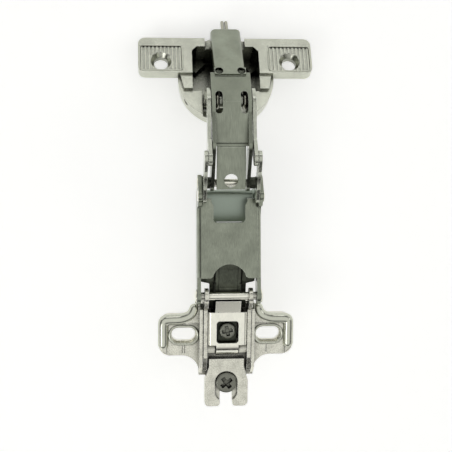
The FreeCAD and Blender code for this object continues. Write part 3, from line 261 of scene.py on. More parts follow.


# Each metal: grain is its size in mm along X, Y and Z, cloud the size of broad differences in
# the plating, rough the lowest and highest roughness, bump the height of the grain in mm, worn
# the painted highlight, how much lighter the edges are, contrast how far the grain darkens and
# lightens the tint, soot the painted shade, how dark the colour is deep in gaps and corners, and
# reach how many mm wide such a gap is.
METALS = {
    # Die-cast zinc under bright nickel: pale, with a cloudy skin and fine orange peel. The
    # 0.4 mm peel is drawn coarser than real so that it shows.
    "casting": dict(name="nickel_plated_zinc_casting", tint="casting", grain=(0.45, 0.45, 0.45),
                    cloud=3.0, rough=(0.16, 0.34), bump=0.008, edge_highlight=0.8, contrast=0.34,
                    gap_shade=0.06, reach=5.0),
    # The casting's raised beads, burnished by handling: smooth, so they mirror the light.
    "bead": dict(name="burnished_nickel_on_zinc_beads", tint="cup", grain=(0.5, 0.5, 0.5),
                 cloud=4.0, rough=(0.10, 0.18), bump=0.0015, edge_highlight=0.2, contrast=0.10,
                 gap_shade=0.03, reach=4.0),
    # The same casting, tumbled: greyer and a little flatter, with painted shade nearly black deep in the cup.
    "cup": dict(name="tumbled_nickel_plated_zinc", tint="cup", grain=(0.5, 0.5, 0.5),
                cloud=4.0, rough=(0.16, 0.30), bump=0.006, edge_highlight=0.9, contrast=0.16,
                gap_shade=0.02, reach=13.0),
    # Strip steel pressed and nickel plated: even grey with rolling lines along the strip. The
    # 0.3 mm lines are drawn coarser than real so that they show.
    "satin": dict(name="satin_nickel_plated_pressed_steel", tint="satin", grain=(0.3, 3.5, 0.3),
                  cloud=6.0, rough=(0.15, 0.27), bump=0.0040, edge_highlight=0.9, contrast=0.26,
                  gap_shade=0.07, reach=5.0),
    # Blanked lever plates: sheared faces catch more light than the satin arm, painted as a brighter tint.
    "side": dict(name="blanked_nickel_plated_steel", tint="side", grain=(0.40, 1.2, 0.40),
                 cloud=2.5, rough=(0.16, 0.32), bump=0.005, edge_highlight=0.7, contrast=0.24,
                 gap_shade=0.08, reach=4.0),
    # Cold-rolled strip under thin nickel: an even bluish grey, partly painted shade, with hardly any grain.
    "insert": dict(name="thin_nickel_on_cold_rolled_strip", tint="insert",
                   grain=(0.3, 3.0, 0.3), cloud=8.0, rough=(0.30, 0.36), bump=0.0008, edge_highlight=0.4,
                   contrast=0.03, gap_shade=0.70, reach=3.0),
    # Bright nickel on steel: sharp reflections with hardly any grain.
    "bright": dict(name="bright_nickel_plated_steel", tint="bright", grain=(0.35, 1.5, 0.35),
                   cloud=3.0, rough=(0.12, 0.22), bump=0.0015, edge_highlight=0.45, contrast=0.08,
                   gap_shade=0.12, reach=3.0),
    # Plated steel that sees no polish: dull and blotchy, with a dark tint inside the arm that is partly painted
    # shade.
    "dark": dict(name="dull_plated_steel", tint="dark", grain=(0.4, 1.2, 0.4), cloud=3.0,
                 rough=(0.30, 0.46), bump=0.004, edge_highlight=0.6, contrast=0.42, gap_shade=0.15, reach=6.0),
    # Cold-headed screw steel, with painted shade dark in the recess and a painted highlight on the rim.
    "screw": dict(name="plated_screw_steel", tint="screw", grain=(0.4, 0.4, 0.4), cloud=2.0,
                  rough=(0.20, 0.34), bump=0.003, edge_highlight=1.0, contrast=0.12, gap_shade=0.02,
                  reach=3.5),
    # Hard-drawn wire: smooth along its length with faint drawing lines.
    "wire": dict(name="drawn_spring_steel_wire", tint="wire", grain=(0.3, 2.5, 0.3), cloud=3.0,
                 rough=(0.18, 0.28), bump=0.0015, edge_highlight=0.4, contrast=0.10, gap_shade=0.12,
                 reach=3.0),
}
BROAD_SHARE = 0.45
TONE_FROM, TONE_TO = 0.32, 0.68
LIGHTEN_SHARE = 0.8
# Painted highlight on edges: where it starts and where it is full, and the tint it lightens towards
EDGE_FLAT, EDGE_FULL = 0.99, 0.80
EDGE_GAIN, EDGE_LIFT = 1.5, 0.12
# Painted shade in gaps: the share of open sky where it is darkest and where it ends
GAP_DEEP, GAP_OPEN = 0.18, 0.86
PALEST = 0.97
# Places of the colour sockets of a Mix node, whose names its other sockets have too
MIX_A, MIX_B, MIX_RESULT = 6, 7, 2
# A fixed direction that a swept path is crossed with
SWEEP_SIDE = (0.0, 0.31, 0.95)


def add(tree, kind, props=None, sockets=None):
    """Add one node with its properties, and set or link its sockets."""
    node = tree.nodes.new(kind)
    for key, value in (props or {}).items():
        setattr(node, key, value)
    for key, value in (sockets or {}).items():
        if isinstance(value, bpy.types.NodeSocket):
            tree.links.new(value, node.inputs[key])
        else:
            node.inputs[key].default_value = value
    return node


def metal(name, tint, grain, cloud, rough, bump, edge_highlight, contrast, gap_shade, reach):
    """Plated metal: two noises mix to a tone that varies colour and roughness, the finer one
    also raises the grain, edges are lightened as a painted highlight where a rounded normal
    leaves the flat one, and what lies in a gap is darkened as painted shade by how much of its
    sky is hidden."""
    tint = getattr(bpy.context.scene.hinge_finish, tint)
    mat = bpy.data.materials.new(name)
    mat.use_nodes = True
    tree = mat.node_tree
    tree.nodes.clear()
    place = add(tree, "ShaderNodeTexCoord").outputs["Object"]
    stretch = add(tree, "ShaderNodeMapping", None,
                  {"Vector": place, "Scale": [1 / (g * MM) for g in grain]})
    fine = add(tree, "ShaderNodeTexNoise", None,
               {"Vector": stretch.outputs[0], "Scale": 1.0, "Detail": 3.0, "Roughness": 0.6})
    broad = add(tree, "ShaderNodeTexNoise", None,
                {"Vector": place, "Scale": 1 / (cloud * MM), "Detail": 2.0, "Roughness": 0.5})
    tone = add(tree, "ShaderNodeMix", {"data_type": "FLOAT"},
               {"Factor": BROAD_SHARE, "A": fine.outputs[0], "B": broad.outputs[0]})
    spread = add(tree, "ShaderNodeMapRange", None,
                 {"Value": tone.outputs[0], "From Min": TONE_FROM, "From Max": TONE_TO})
    light = 1 + LIGHTEN_SHARE * contrast
    body = add(tree, "ShaderNodeMix", {"data_type": "RGBA"},
               {"Factor": spread.outputs[0], MIX_A: [c * (1 - contrast) for c in tint] + [1.0],
                MIX_B: [min(c * light, PALEST) for c in tint] + [1.0]})
    # Painted highlight: edges get a lighter tint where the rounded normal leaves the flat one
    soft = add(tree, "ShaderNodeBevel", {"samples": 4},
               {"Radius": bpy.context.scene.hinge_sizes.edge_round})
    flat = add(tree, "ShaderNodeNewGeometry")
    same = add(tree, "ShaderNodeVectorMath", {"operation": "DOT_PRODUCT"},
               {0: soft.outputs[0], 1: flat.outputs["Normal"]})
    edge = add(tree, "ShaderNodeMapRange", None,
               {"Value": same.outputs["Value"], "From Min": EDGE_FLAT, "From Max": EDGE_FULL,
                "To Min": 0.0, "To Max": edge_highlight})
    skin = add(tree, "ShaderNodeMix", {"data_type": "RGBA"},
               {"Factor": edge.outputs[0], MIX_A: body.outputs[MIX_RESULT],
                MIX_B: [min(c * EDGE_GAIN + EDGE_LIFT, PALEST) for c in tint] + [1.0]})
    # Painted shade: the colour is darkened where a gap hides the sky
    gap = add(tree, "ShaderNodeAmbientOcclusion", {"samples": 8},
              {"Distance": reach * MM, "Normal": flat.outputs["Normal"]})
    shade = add(tree, "ShaderNodeMapRange", {"interpolation_type": "SMOOTHSTEP"},
                {"Value": gap.outputs["AO"], "From Min": GAP_DEEP, "From Max": GAP_OPEN,
                 "To Min": gap_shade, "To Max": 1.0})
    deep = add(tree, "ShaderNodeMix", {"data_type": "RGBA", "blend_type": "MULTIPLY"},
               {"Factor": 1.0, MIX_A: skin.outputs[MIX_RESULT], MIX_B: shade.outputs[0]})
    sheen = add(tree, "ShaderNodeMapRange", None,
                {"Value": spread.outputs[0], "To Min": rough[0], "To Max": rough[1]})
    relief = add(tree, "ShaderNodeBump", None,
                 {"Strength": 1.0, "Distance": bump * MM, "Height": fine.outputs[0],
                  "Normal": soft.outputs[0]})
    shader = add(tree, "ShaderNodeBsdfPrincipled", None,
                 {"Base Color": deep.outputs[MIX_RESULT], "Metallic": 1.0,
                  "Roughness": sheen.outputs[0], "Normal": relief.outputs[0]})
    add(tree, "ShaderNodeOutputMaterial", None, {"Surface": shader.outputs[0]})
    return mat


def finish(kind):
    """The metal of one kind of piece, made once and then shared."""
    recipe = METALS[kind]
    return bpy.data.materials.get(recipe["name"]) or metal(**recipe)


def dress(kind, *nodes):
    """Give CAD nodes the metal of their kind."""
    for node in nodes:
        mesh = frame["nodes"][node].data
        mesh.materials.clear()
        mesh.materials.append(finish(kind))


def closed_piece(name, verts, quads, tris, kind, body, slot, *nodes):
    """A closed mesh that rides on a body. Its signed volume, a sum of triple products, says
    whether the faces point outwards, and they are turned when it is negative."""
    split = np.vstack([quads[:, [0, 1, 2]], quads[:, [0, 2, 3]], tris])
    p, q, r = (verts[split[:, c]] for c in range(3))
    if np.einsum("ij,ij->i", p, np.cross(q, r)).sum() < 0:
        quads = quads[:, ::-1]
        tris = tris[:, ::-1]
    mesh = bpy.data.meshes.new(name)
    mesh.from_pydata(verts.tolist(), [], quads.tolist() + tris.tolist())
    mesh.polygons.foreach_set("use_smooth", np.ones(len(mesh.polygons), bool))
    mesh.set_sharp_from_angle(angle=SHARP_EDGE)
    mesh.update()
    piece = bpy.data.objects.new(name, mesh)
    bpy.context.scene.collection.objects.link(piece)
    mesh.materials.append(finish(kind))
    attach(piece, body)
    if nodes:
        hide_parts(*nodes)
    return piece


def turned_piece(name, rings, kind, body, slot, *nodes):
    """A closed piece from rings of points (rows, around, xyz). The first and last ring shrink to
    their middle, which closes the poles."""
    rows, around, _ = rings.shape
    verts = np.vstack([rings[0].mean(axis=0), rings[1:-1].reshape(-1, 3),
                       rings[-1].mean(axis=0)])
    i, j = np.meshgrid(np.arange(rows - 3), np.arange(around), indexing="ij")
    k = (j + 1) % around
    quads = np.stack([i * around + j, i * around + k, (i + 1) * around + k,
                      (i + 1) * around + j], axis=-1).reshape(-1, 4) + 1
    a = np.arange(around)
    b = (a + 1) % around
    first_fan = np.stack([np.zeros_like(a), b + 1, a + 1], axis=-1)
    end = 1 + (rows - 3) * around
    last_fan = np.stack([np.full_like(a, len(verts) - 1), end + a, end + b], axis=-1)
    return closed_piece(name, verts, quads, np.vstack([first_fan, last_fan]), kind, body, slot,
                        *nodes)


def ring_piece(name, rings, kind, body, slot):
    """A closed piece from rings of points that join up at the end, as a tyre does."""
    rows, around, _ = rings.shape
    i, j = np.meshgrid(np.arange(rows), np.arange(around), indexing="ij")
    i1 = (i + 1) % rows
    j1 = (j + 1) % around
    quads = np.stack([i * around + j, i * around + j1, i1 * around + j1, i1 * around + j],
                     axis=-1).reshape(-1, 4)
    return closed_piece(name, rings.reshape(-1, 3), quads, np.zeros((0, 3), int), kind, body,
                        slot)


def sheet_piece(name, low, high, kind, body, slot):
    """A closed sheet between two grids of points of the same size, with its four edges joined."""
    m, n, _ = low.shape
    verts = np.vstack([low.reshape(-1, 3), high.reshape(-1, 3)])
    i, j = np.meshgrid(np.arange(m - 1), np.arange(n - 1), indexing="ij")
    a = (i * n + j).ravel()
    under = np.stack([a, a + n, a + n + 1, a + 1], axis=-1)
    over = under[:, ::-1] + m * n
    rim = np.concatenate([np.arange(n), n - 1 + n * np.arange(1, m),
                          m * n - 1 - np.arange(1, n), n * (m - 1) - n * np.arange(1, m - 1)])
    to = np.roll(rim, -1)
    edge = np.stack([rim, to, to + m * n, rim + m * n], axis=-1)
    return closed_piece(name, verts, np.vstack([under, over, edge]), np.zeros((0, 3), int), kind,
                        body, slot)


def refined(points, spacing):
    """Points on a profile line at an even spacing, with every corner of the line kept once."""
    points = np.asarray(points, float)
    parts = []
    for a, b in zip(points[:-1], points[1:]):
        n = int(np.ceil(np.linalg.norm(b - a) / spacing))
        parts.append(a + (b - a) * np.linspace(0, 1, n, endpoint=False)[:, None])
    return np.vstack(parts + [points[-1:]])


def rounded(points, spacing, passes):
    """A smooth path through a few corners: evenly spaced points, then repeated averages of each
    point with its two neighbours, with the ends held."""
    line = refined(points, spacing)
    for _ in range(passes):
        line[1:-1] = (line[:-2] + 2 * line[1:-1] + line[2:]) / 4
    return line


def smooth_step(value):
    """Nought below nought, one above one, and three squares less two cubes between."""
    value = np.clip(value, 0, 1)
    return value * value * (3 - 2 * value)


def pin_rings(profile, centre, around=64):
    """Rings of a piece turned about the X direction: x is along the pin, and y and z are the
    radius times the cosine and sine of the angle. The profile lists x and radius in metres."""
    line = refined(profile, PIN_STEP * MM)
    angle = np.linspace(0, 2 * np.pi, around, endpoint=False)
    x = np.repeat(line[:, :1], around, axis=1)
    y = centre[1] + line[:, 1:] * np.cos(angle)
    z = centre[2] + line[:, 1:] * np.sin(angle)
    return np.stack([x, y, z], axis=-1)


def dome(x0, x1, r0, r1, steps=9):
    """Profile of a peened head: the radius falls from r0 to r1 along an ellipse while x runs
    from x0 to x1, and a shallow dimple is left in the middle."""
    t = np.linspace(0, np.pi / 2, steps)
    x = x0 + (x1 - x0) * np.sin(t)
    r = r1 + (r0 - r1) * np.cos(t)
    dent = (x1 - x0) * DIMPLE_SHARE
    return list(zip(x, r)) + [(x1 - dent * deep, r1 * wide) for deep, wide in DIMPLE_LINE]


def upright_rings(radius, height, angle):
    """Rings about the Z direction: x and y are the radius times the cosine and sine of the
    angle, and the height is the same all round."""
    return np.stack([radius * np.cos(angle), radius * np.sin(angle),
                     height * np.ones_like(angle)], axis=-1)


def screw_rings(centre, top, head_r, head_low, shank_r, foot, span, slot, depth, turn):
    """Rings of a screw about Z. On the head's top the height is the head's height less the
    recess depth wherever the point lies in one of the two crossed slots, which are deepest in
    the middle. On the shank the radius is the screw's radius less the thread depth times a
    triangle wave of height over pitch minus angle over a full turn."""
    sizes = bpy.context.scene.hinge_sizes
    angle = np.linspace(0, 2 * np.pi, SCREW_AROUND, endpoint=False)
    share = np.linspace(SCREW_TOP_START, 1.0, SCREW_TOP_RINGS)[:, None]
    radii = share * (head_r - SCREW_FLAT_EDGE * MM)
    x = radii * np.cos(angle)
    y = radii * np.sin(angle)
    u = x * math.cos(turn) + y * math.sin(turn)
    v = y * math.cos(turn) - x * math.sin(turn)

    def inside(across, run):
        """One inside a slot and nought outside, with a steep even slope at its walls."""
        side = np.clip((slot / 2 - np.abs(across)) / (CROSS_WALL * MM) + 0.5, 0, 1)
        end = np.clip((span / 2 - np.abs(run)) / (CROSS_END_WALL * MM) + 0.5, 0, 1)
        return side * end

    cross = np.maximum(inside(u, v), inside(v, u))
    middle = np.clip((slot / 2 * CROSS_MIDDLE_SHARE - np.hypot(u, v)) / (2 * CROSS_WALL * MM),
                     0, 1)
    crown = SCREW_CROWN * MM * (radii / head_r) ** 2
    height = top - crown - depth * np.maximum(cross * CROSS_SLOT_SHARE, middle)
    flat = np.stack([x, y, height], axis=-1)
    inset, drop = SCREW_RIM[-1]
    bevel = SCREW_UNDER_BEVEL * MM
    rim = [(head_r - i * MM, top - d * MM) for i, d in SCREW_RIM]
    rim += [(head_r - inset * MM, head_low + bevel), (head_r - bevel, head_low),
            (shank_r, head_low)]
    line = refined(rim, SCREW_RIM_STEP * MM)
    collar = upright_rings(line[:, :1], line[:, 1:], angle)
    levels = np.linspace(head_low - SCREW_NECK * MM, foot + SCREW_TIP_BEVEL * MM,
                         SCREW_SHANK_RINGS)[:, None]
    wave = np.abs(((levels / sizes.thread_pitch - angle / (2 * np.pi)) % 1.0) * 2 - 1)
    fade = np.clip((head_low - levels) / (THREAD_RUN_OUT * MM), 0, 1)
    shank = upright_rings(shank_r - sizes.thread_depth * wave * fade, levels, angle)
    tip_r = np.array([[shank_r - SCREW_TIP_BEVEL * MM], [shank_r * SCREW_TIP_SHARE], [0.0]])
    tip = upright_rings(tip_r, np.full_like(tip_r, foot), angle)
    rings = np.concatenate([flat[:1], flat, collar, shank, tip])
    rings[..., 0] += centre[0]
    rings[..., 1] += centre[1]
    return rings


def loop_rings(path, up, wide, rise, around=14):
    """A raised bead round a closed path. Each ring is an ellipse: half the width times the
    cosine, across the path, plus the rise times the sine, along up."""
    step = np.roll(path, -1, axis=0) - np.roll(path, 1, axis=0)
    across = np.cross(step, up)
    across /= np.linalg.norm(across, axis=1)[:, None]
    angle = np.linspace(0, 2 * np.pi, around, endpoint=False)[:, None]
    return (path[:, None] + across[:, None] * np.cos(angle) * wide / 2
            + np.asarray(up) * np.sin(angle) * rise)


def rounded_frame(x0, x1, y0, y1, corner, steps=10):
    """Points of a rectangle with quarter-circle corners, in the plane of x and y."""
    turn = np.linspace(0, np.pi / 2, steps)
    middles = ((x1 - corner, y1 - corner), (x0 + corner, y1 - corner),
               (x0 + corner, y0 + corner), (x1 - corner, y0 + corner))
    arcs = [np.stack([mx + corner * np.cos(turn + q * np.pi / 2),
                      my + corner * np.sin(turn + q * np.pi / 2)], axis=-1)
            for q, (mx, my) in enumerate(middles)]
    return np.vstack(arcs)


def swept_rings(path, wide, rise, around=20):
    """A wire or bead along a path. Each ring is an ellipse: the path point plus the half width
    times the cosine and the rise times the sine, along two unit directions across the path.
    The first is the path's step crossed with a fixed direction, the second the step crossed
    with the first. The ellipse shrinks to nothing at both ends along a circle."""
    step = np.gradient(path, axis=0)
    step /= np.linalg.norm(step, axis=1)[:, None]
    side = np.cross(step, SWEEP_SIDE)
    side /= np.linalg.norm(side, axis=1)[:, None]
    other = np.cross(step, side)
    run = np.concatenate([[0], np.cumsum(np.linalg.norm(np.diff(path, axis=0), axis=1))])
    near_end = np.minimum(run, run[-1] - run)
    fade = np.sqrt(np.clip(1 - np.clip(1 - near_end / wide, 0, 1) ** 2, 0.0, 1))
    angle = np.linspace(0, 2 * np.pi, around, endpoint=False)
    ring = (side[:, None] * np.cos(angle)[:, None] * wide
            + other[:, None] * np.sin(angle)[:, None] * rise)
    return path[:, None] + ring * fade[:, None, None]


def cup_points(x, u, v):
    """Points given by the cup's own directions in mm: x along the pivots, u along the door and
    v into it. Each is the cup's middle plus u and v times their unit directions."""
    x, u, v = np.broadcast_arrays(x, u, v)
    points = CUP_MIDDLE + MM * (u[..., None] * ALONG_DOOR + v[..., None] * INTO_DOOR)
    points[..., 0] += x * MM
    return points


def pivot(joint):
    """Place of a joint in metres."""
    found = [j for j in frame["joints"] if j["name"] == joint]
    if not found:
        raise RuntimeError("the frame has no joint " + joint)
    return np.array(found[0]["pos_m"])


def middle_of(node):
    """Middle, lowest and highest corner of a CAD node's box."""
    low, high = (np.array(corner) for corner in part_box(node))
    return (low + high) / 2, low, high


class HINGE_OT_cast_pieces(bpy.types.Operator):
    """Nickel-plated zinc castings: mounting plate, slide bracket and cup"""
    bl_idname = "hinge.cast_pieces"
    bl_label = "Cast pieces"

    def execute(self, context):
        dress("casting", "mounting_plate", "slide_bracket")
        dress("cup", "cup_body")
        return {"FINISHED"}


class HINGE_OT_pressed_pieces(bpy.types.Operator):
    """Pressed and blanked steel: arm, levers, links and clip plate"""
    bl_idname = "hinge.pressed_pieces"
    bl_label = "Pressed pieces"

    def execute(self, context):
        dress("satin", "arm_channel", "inner_lever")
        dress("side", "outer_lever_left", "outer_lever_right", "guide_link_left",
              "guide_link_right", "cup_link")
        dress("bright", "clip_plate")
        # Parts inside the arm get the dark tint, partly painted shade
        dress("dark", "tilt_lever", "pivot_bush_left", "pivot_bush_right")
        return {"FINISHED"}


class HINGE_OT_plain_pins(bpy.types.Operator):
    """Ground pins of the levers and the cup, flush with what holds them"""
    bl_idname = "hinge.plain_pins"
    bl_label = "Plain pins"

    def execute(self, context):
        dress("bright", "cross_rivet_left", "cross_rivet_right", "link_pin", "cup_link_pin",
              "cup_pin_left", "cup_pin_right", "guide_end_rivet_left", "guide_end_rivet_right")
        return {"FINISHED"}


class HINGE_OT_riveted_pins(bpy.types.Operator):
    """Arm axle, arm pivot pin and guide rivets with domed, peened heads"""
    bl_idname = "hinge.riveted_pins"
    bl_label = "Riveted pins"

    def execute(self, context):
        self.through_pin("arm_axle", "arm_axle_turned", AXLE)
        self.through_pin("arm_pivot_pin", "arm_pivot_turned", ARM_PIVOT)
        for sign, side in ((-1, "left"), (1, "right")):
            self.guide_rivet("guide_rivet_" + side, "guide_rivet_domed_" + side, sign)
        return {"FINISHED"}

    def through_pin(self, node, name, sizes):
        """A pin with a domed head on both ends, the left one the mirror of the right one."""
        shank, head, thick = (size * MM for size in sizes)
        body = [b for b, nodes in frame["record"]["behaviour"]["bodies"].items()
                if node in nodes][0]
        centre, _, high = middle_of(node)
        seat = high[0] - thick
        right = [(seat, shank), (seat, head)]
        right += dome(seat, high[0], head, head * HEAD_TOP_SHARE)
        left = [(-x, r) for x, r in reversed(right)]
        turned_piece(name, pin_rings(left + right, centre), "bright", body, "bright_steel", node)

    def guide_rivet(self, node, name, sign):
        """A rivet through one arm wall with its domed head outside."""
        shank, head, thick = (size * MM for size in GUIDE_RIVET)
        centre, low, high = middle_of(node)
        inner = sign * min(abs(low[0]), abs(high[0]))
        outer = sign * max(abs(low[0]), abs(high[0]))
        seat = outer - sign * thick
        profile = [(inner, 0.0), (inner, shank), (seat, shank), (seat, head)]
        profile += dome(seat, outer, head, GUIDE_TOP_R * MM)
        turned_piece(name, pin_rings(profile, centre), "bright", "arm", "bright_steel", node)


class HINGE_OT_screws(bpy.types.Operator):
    """Fixing screw and side screw with cross recess and thread"""
    bl_idname = "hinge.screws"
    bl_label = "Screws"

    def execute(self, context):
        sizes = context.scene.hinge_sizes
        centre, low, high = middle_of("fixing_screw")
        rings = screw_rings(centre, high[2], FIXING_HEAD_R * MM,
                            high[2] - FIXING_HEAD_THICK * MM, FIXING_SHANK_R * MM, low[2],
                            sizes.cross_span, sizes.cross_slot, sizes.cross_depth,
                            math.radians(FIXING_TURN))
        turned_piece("fixing_screw_threaded", rings, "screw", "fixing_screw", "screw_steel",
                     "fixing_screw")
        centre, low, high = middle_of("side_screw")
        rings = screw_rings(centre, high[2], SIDE_HEAD_R * MM, high[2] - SIDE_HEAD_THICK * MM,
                            SIDE_SHANK_R * MM, low[2] + SIDE_FOOT_LIFT * MM,
                            sizes.cross_span * SIDE_SPAN_SHARE,
                            sizes.cross_slot * SIDE_SLOT_SHARE, SIDE_CROSS_DEPTH * MM,
                            math.radians(SIDE_TURN))
        turned_piece("side_screw_threaded", rings, "screw", "side_screw", "screw_steel",
                     "side_screw")
        return {"FINISHED"}


class HINGE_OT_lever_spring(bpy.types.Operator):
    """Double torsion spring: one coil beside each fork plate and two prongs past the cap"""
    bl_idname = "hinge.lever_spring"
    bl_label = "Lever spring"

    def execute(self, context):
        """The coil is an arc about the link's pivot, and the leg a smoothed line from its end
        along the cap's inside and out past its tip."""
        sizes = context.scene.hinge_sizes
        centre = pivot("link_swing")[1:] / MM
        away = middle_of("cup_link_pin")[0][1:] / MM - centre
        run = away / np.linalg.norm(away)
        rise = np.array([-run[1], run[0]])
        cap_run = (CAP_TIP - CAP_START) / np.linalg.norm(CAP_TIP - CAP_START)
        tip = CAP_TIP + PRONG_DROP * np.array([cap_run[1], -cap_run[0]])
        end = tip + cap_run * sizes.prong_reach / MM
        start = math.atan2(rise[1], rise[0])
        turn = np.linspace(start + math.radians(COIL_TURN), start, COIL_POINTS)
        coil = np.stack([np.full(COIL_POINTS, COIL_X), centre[0] + COIL_R * np.cos(turn),
                         centre[1] + COIL_R * np.sin(turn)], axis=-1)
        legs = [coil[-1]]
        for x, reach, lift in SPRING_LEG:
            p = centre + run * reach + rise * lift
            legs.append([x, p[0], p[1]])
        legs += [[PRONG_X, tip[0], tip[1]], [PRONG_X, end[0], end[1]]]
        right = np.vstack([coil[:-1], rounded(legs, SPRING_STEP, SPRING_PASSES)]) * MM
        for sign, side in ((-1, "left"), (1, "right")):
            path = right * [sign, 1, 1]
            turned_piece("lever_spring_wire_" + side,
                         swept_rings(path, sizes.wire_radius, sizes.wire_radius), "wire",
                         "inner_lever", "spring_wire", "lever_spring")
        return {"FINISHED"}


class HINGE_OT_arm_insert(bpy.types.Operator):
    """Pressed insert low between the arm's walls, seen through the front notch; its grey is partly painted shade
    """
    bl_idname = "hinge.arm_insert"
    bl_label = "Arm insert"

    def execute(self, context):
        """The section is a flat web with two flanges turned up through quarter circles, and it is
        carried along a line in the side view that bends down at its front end."""
        turn = np.linspace(np.pi, 1.5 * np.pi, INSERT_BEND_POINTS)
        line = rounded(INSERT_LINE, INSERT_STEP, INSERT_PASSES)
        run = np.gradient(line, axis=0)
        run /= np.linalg.norm(run, axis=1)[:, None]
        faces = []
        for inward in (0.0, INSERT_SHEET):
            r = INSERT_CORNER - inward
            half = INSERT_HALF - inward
            bend = INSERT_CORNER - INSERT_HALF + r * np.cos(turn)
            lift = INSERT_CORNER + r * np.sin(turn)
            x = np.concatenate([[-half], bend, -bend[::-1], [half]])
            rise = np.concatenate([[INSERT_FLANGE], lift, lift[::-1], [INSERT_FLANGE]])
            y = line[:, :1] - run[:, 1:] * rise
            z = line[:, 1:] + run[:, :1] * rise
            faces.append(np.stack([np.broadcast_to(x, y.shape), y, z], axis=-1) * MM)
        sheet_piece("arm_insert", faces[0], faces[1], "insert", "arm", "satin_steel")
        return {"FINISHED"}


class HINGE_OT_tilt_lever_web(bpy.types.Operator):
    """Wide web of the tilt lever, seen behind the arm's rear arch"""
    bl_idname = "hinge.tilt_lever_web"
    bl_label = "Tilt lever web"

    def execute(self, context):
        """Half the width grows from the gap between the bracket's ears to that between the arm's
        walls along a smooth step. The height follows the lever, less a fall at both sides."""
        line_y, line_z = np.transpose(WEB_LINE)
        y = np.linspace(line_y[0], line_y[-1], WEB_ROWS)[:, None]
        half = WEB_NARROW + (WEB_WIDE - WEB_NARROW) * smooth_step(
            (y - WEB_EARS_END) / WEB_WIDENING)
        x = half * np.linspace(-1, 1, WEB_COLUMNS)
        z = np.interp(y, line_y, line_z) - WEB_FALL * smooth_step(
            (np.abs(x) - WEB_RIB) / WEB_SHOULDER)
        high = np.stack([x, np.broadcast_to(y, x.shape), z], axis=-1) * MM
        low = high - np.array([0, 0, WEB_SHEET * MM])
        sheet_piece("tilt_lever_web", low, high, "dark", "arm", "dark_steel")
        return {"FINISHED"}


class HINGE_OT_casting_beads(bpy.types.Operator):
    """What the castings carry: wing, slot and pad beads, and fillers in the cup's corners"""
    bl_idname = "hinge.casting_beads"
    bl_label = "Casting beads"

    def execute(self, context):
        for sign, side in ((-1, "left"), (1, "right")):
            self.wing_bead(context.scene.hinge_sizes, sign, side)
            self.cup_corner(sign, side)
            self.slot_rim(sign, side)
            self.pad_rim(sign, side)
        return {"FINISHED"}

    def wing_bead(self, sizes, sign, side):
        """An ellipse carried along the smoothed line of one wing's rim."""
        line = rounded(WING_LINE, WING_STEP, WING_PASSES)
        path = np.column_stack([line[:, 0] * sign, line[:, 1],
                                np.full(len(line), WING_BEAD_LEVEL)]) * MM
        turned_piece("wing_bead_" + side,
                     swept_rings(path, sizes.bead_half, sizes.bead_rise, WING_AROUND), "bead",
                     "plate", "cast_nickel")

    def cup_corner(self, sign, side):
        """A wedge that closes one far corner of the cup. Its two faces are parts of a ring, with
        u and x the radius times the cosine and sine of the turn."""
        turn = np.radians(np.linspace(CORNER_FROM, CORNER_TO, CORNER_COLUMNS))
        faces = []
        for depth, reach in CORNER_ENDS:
            r = np.linspace(CORNER_INNER_R, reach, CORNER_ROWS)[:, None]
            faces.append(cup_points(r * np.sin(turn) * sign, r * np.cos(turn), depth))
        sheet_piece("cup_corner_" + side, faces[0], faces[1], "cup", "cup", "cast_nickel")

    def slot_rim(self, sign, side):
        """An ellipse carried round one wing's screw slot."""
        half_x, half_y = SLOT_RIM_HALF
        line = rounded_frame(SLOT_X - half_x, SLOT_X + half_x, -half_y, half_y, SLOT_RIM_CORNER)
        path = np.column_stack([line[:, 0] * sign, line[:, 1],
                                np.full(len(line), SLOT_RIM_LEVEL)]) * MM
        ring_piece("slot_rim_" + side,
                   loop_rings(path, (0, 0, 1), SLOT_RIM_WIDE * MM, SLOT_RIM_RISE * MM), "bead",
                   "plate", "cast_nickel")

    def pad_rim(self, sign, side):
        """An ellipse carried round one ear's ribbed pad, on the flange's outer face."""
        line = rounded_frame(EAR_X - PAD_HALF, EAR_X + PAD_HALF, PAD_NEAR, PAD_FAR, PAD_CORNER)
        path = cup_points(line[:, 0] * sign, line[:, 1], 0.0)
        ring_piece("pad_rim_" + side,
                   loop_rings(path, -INTO_DOOR, PAD_RIM_WIDE * MM, PAD_RIM_RISE * MM), "cup",
                   "cup", "cast_nickel")


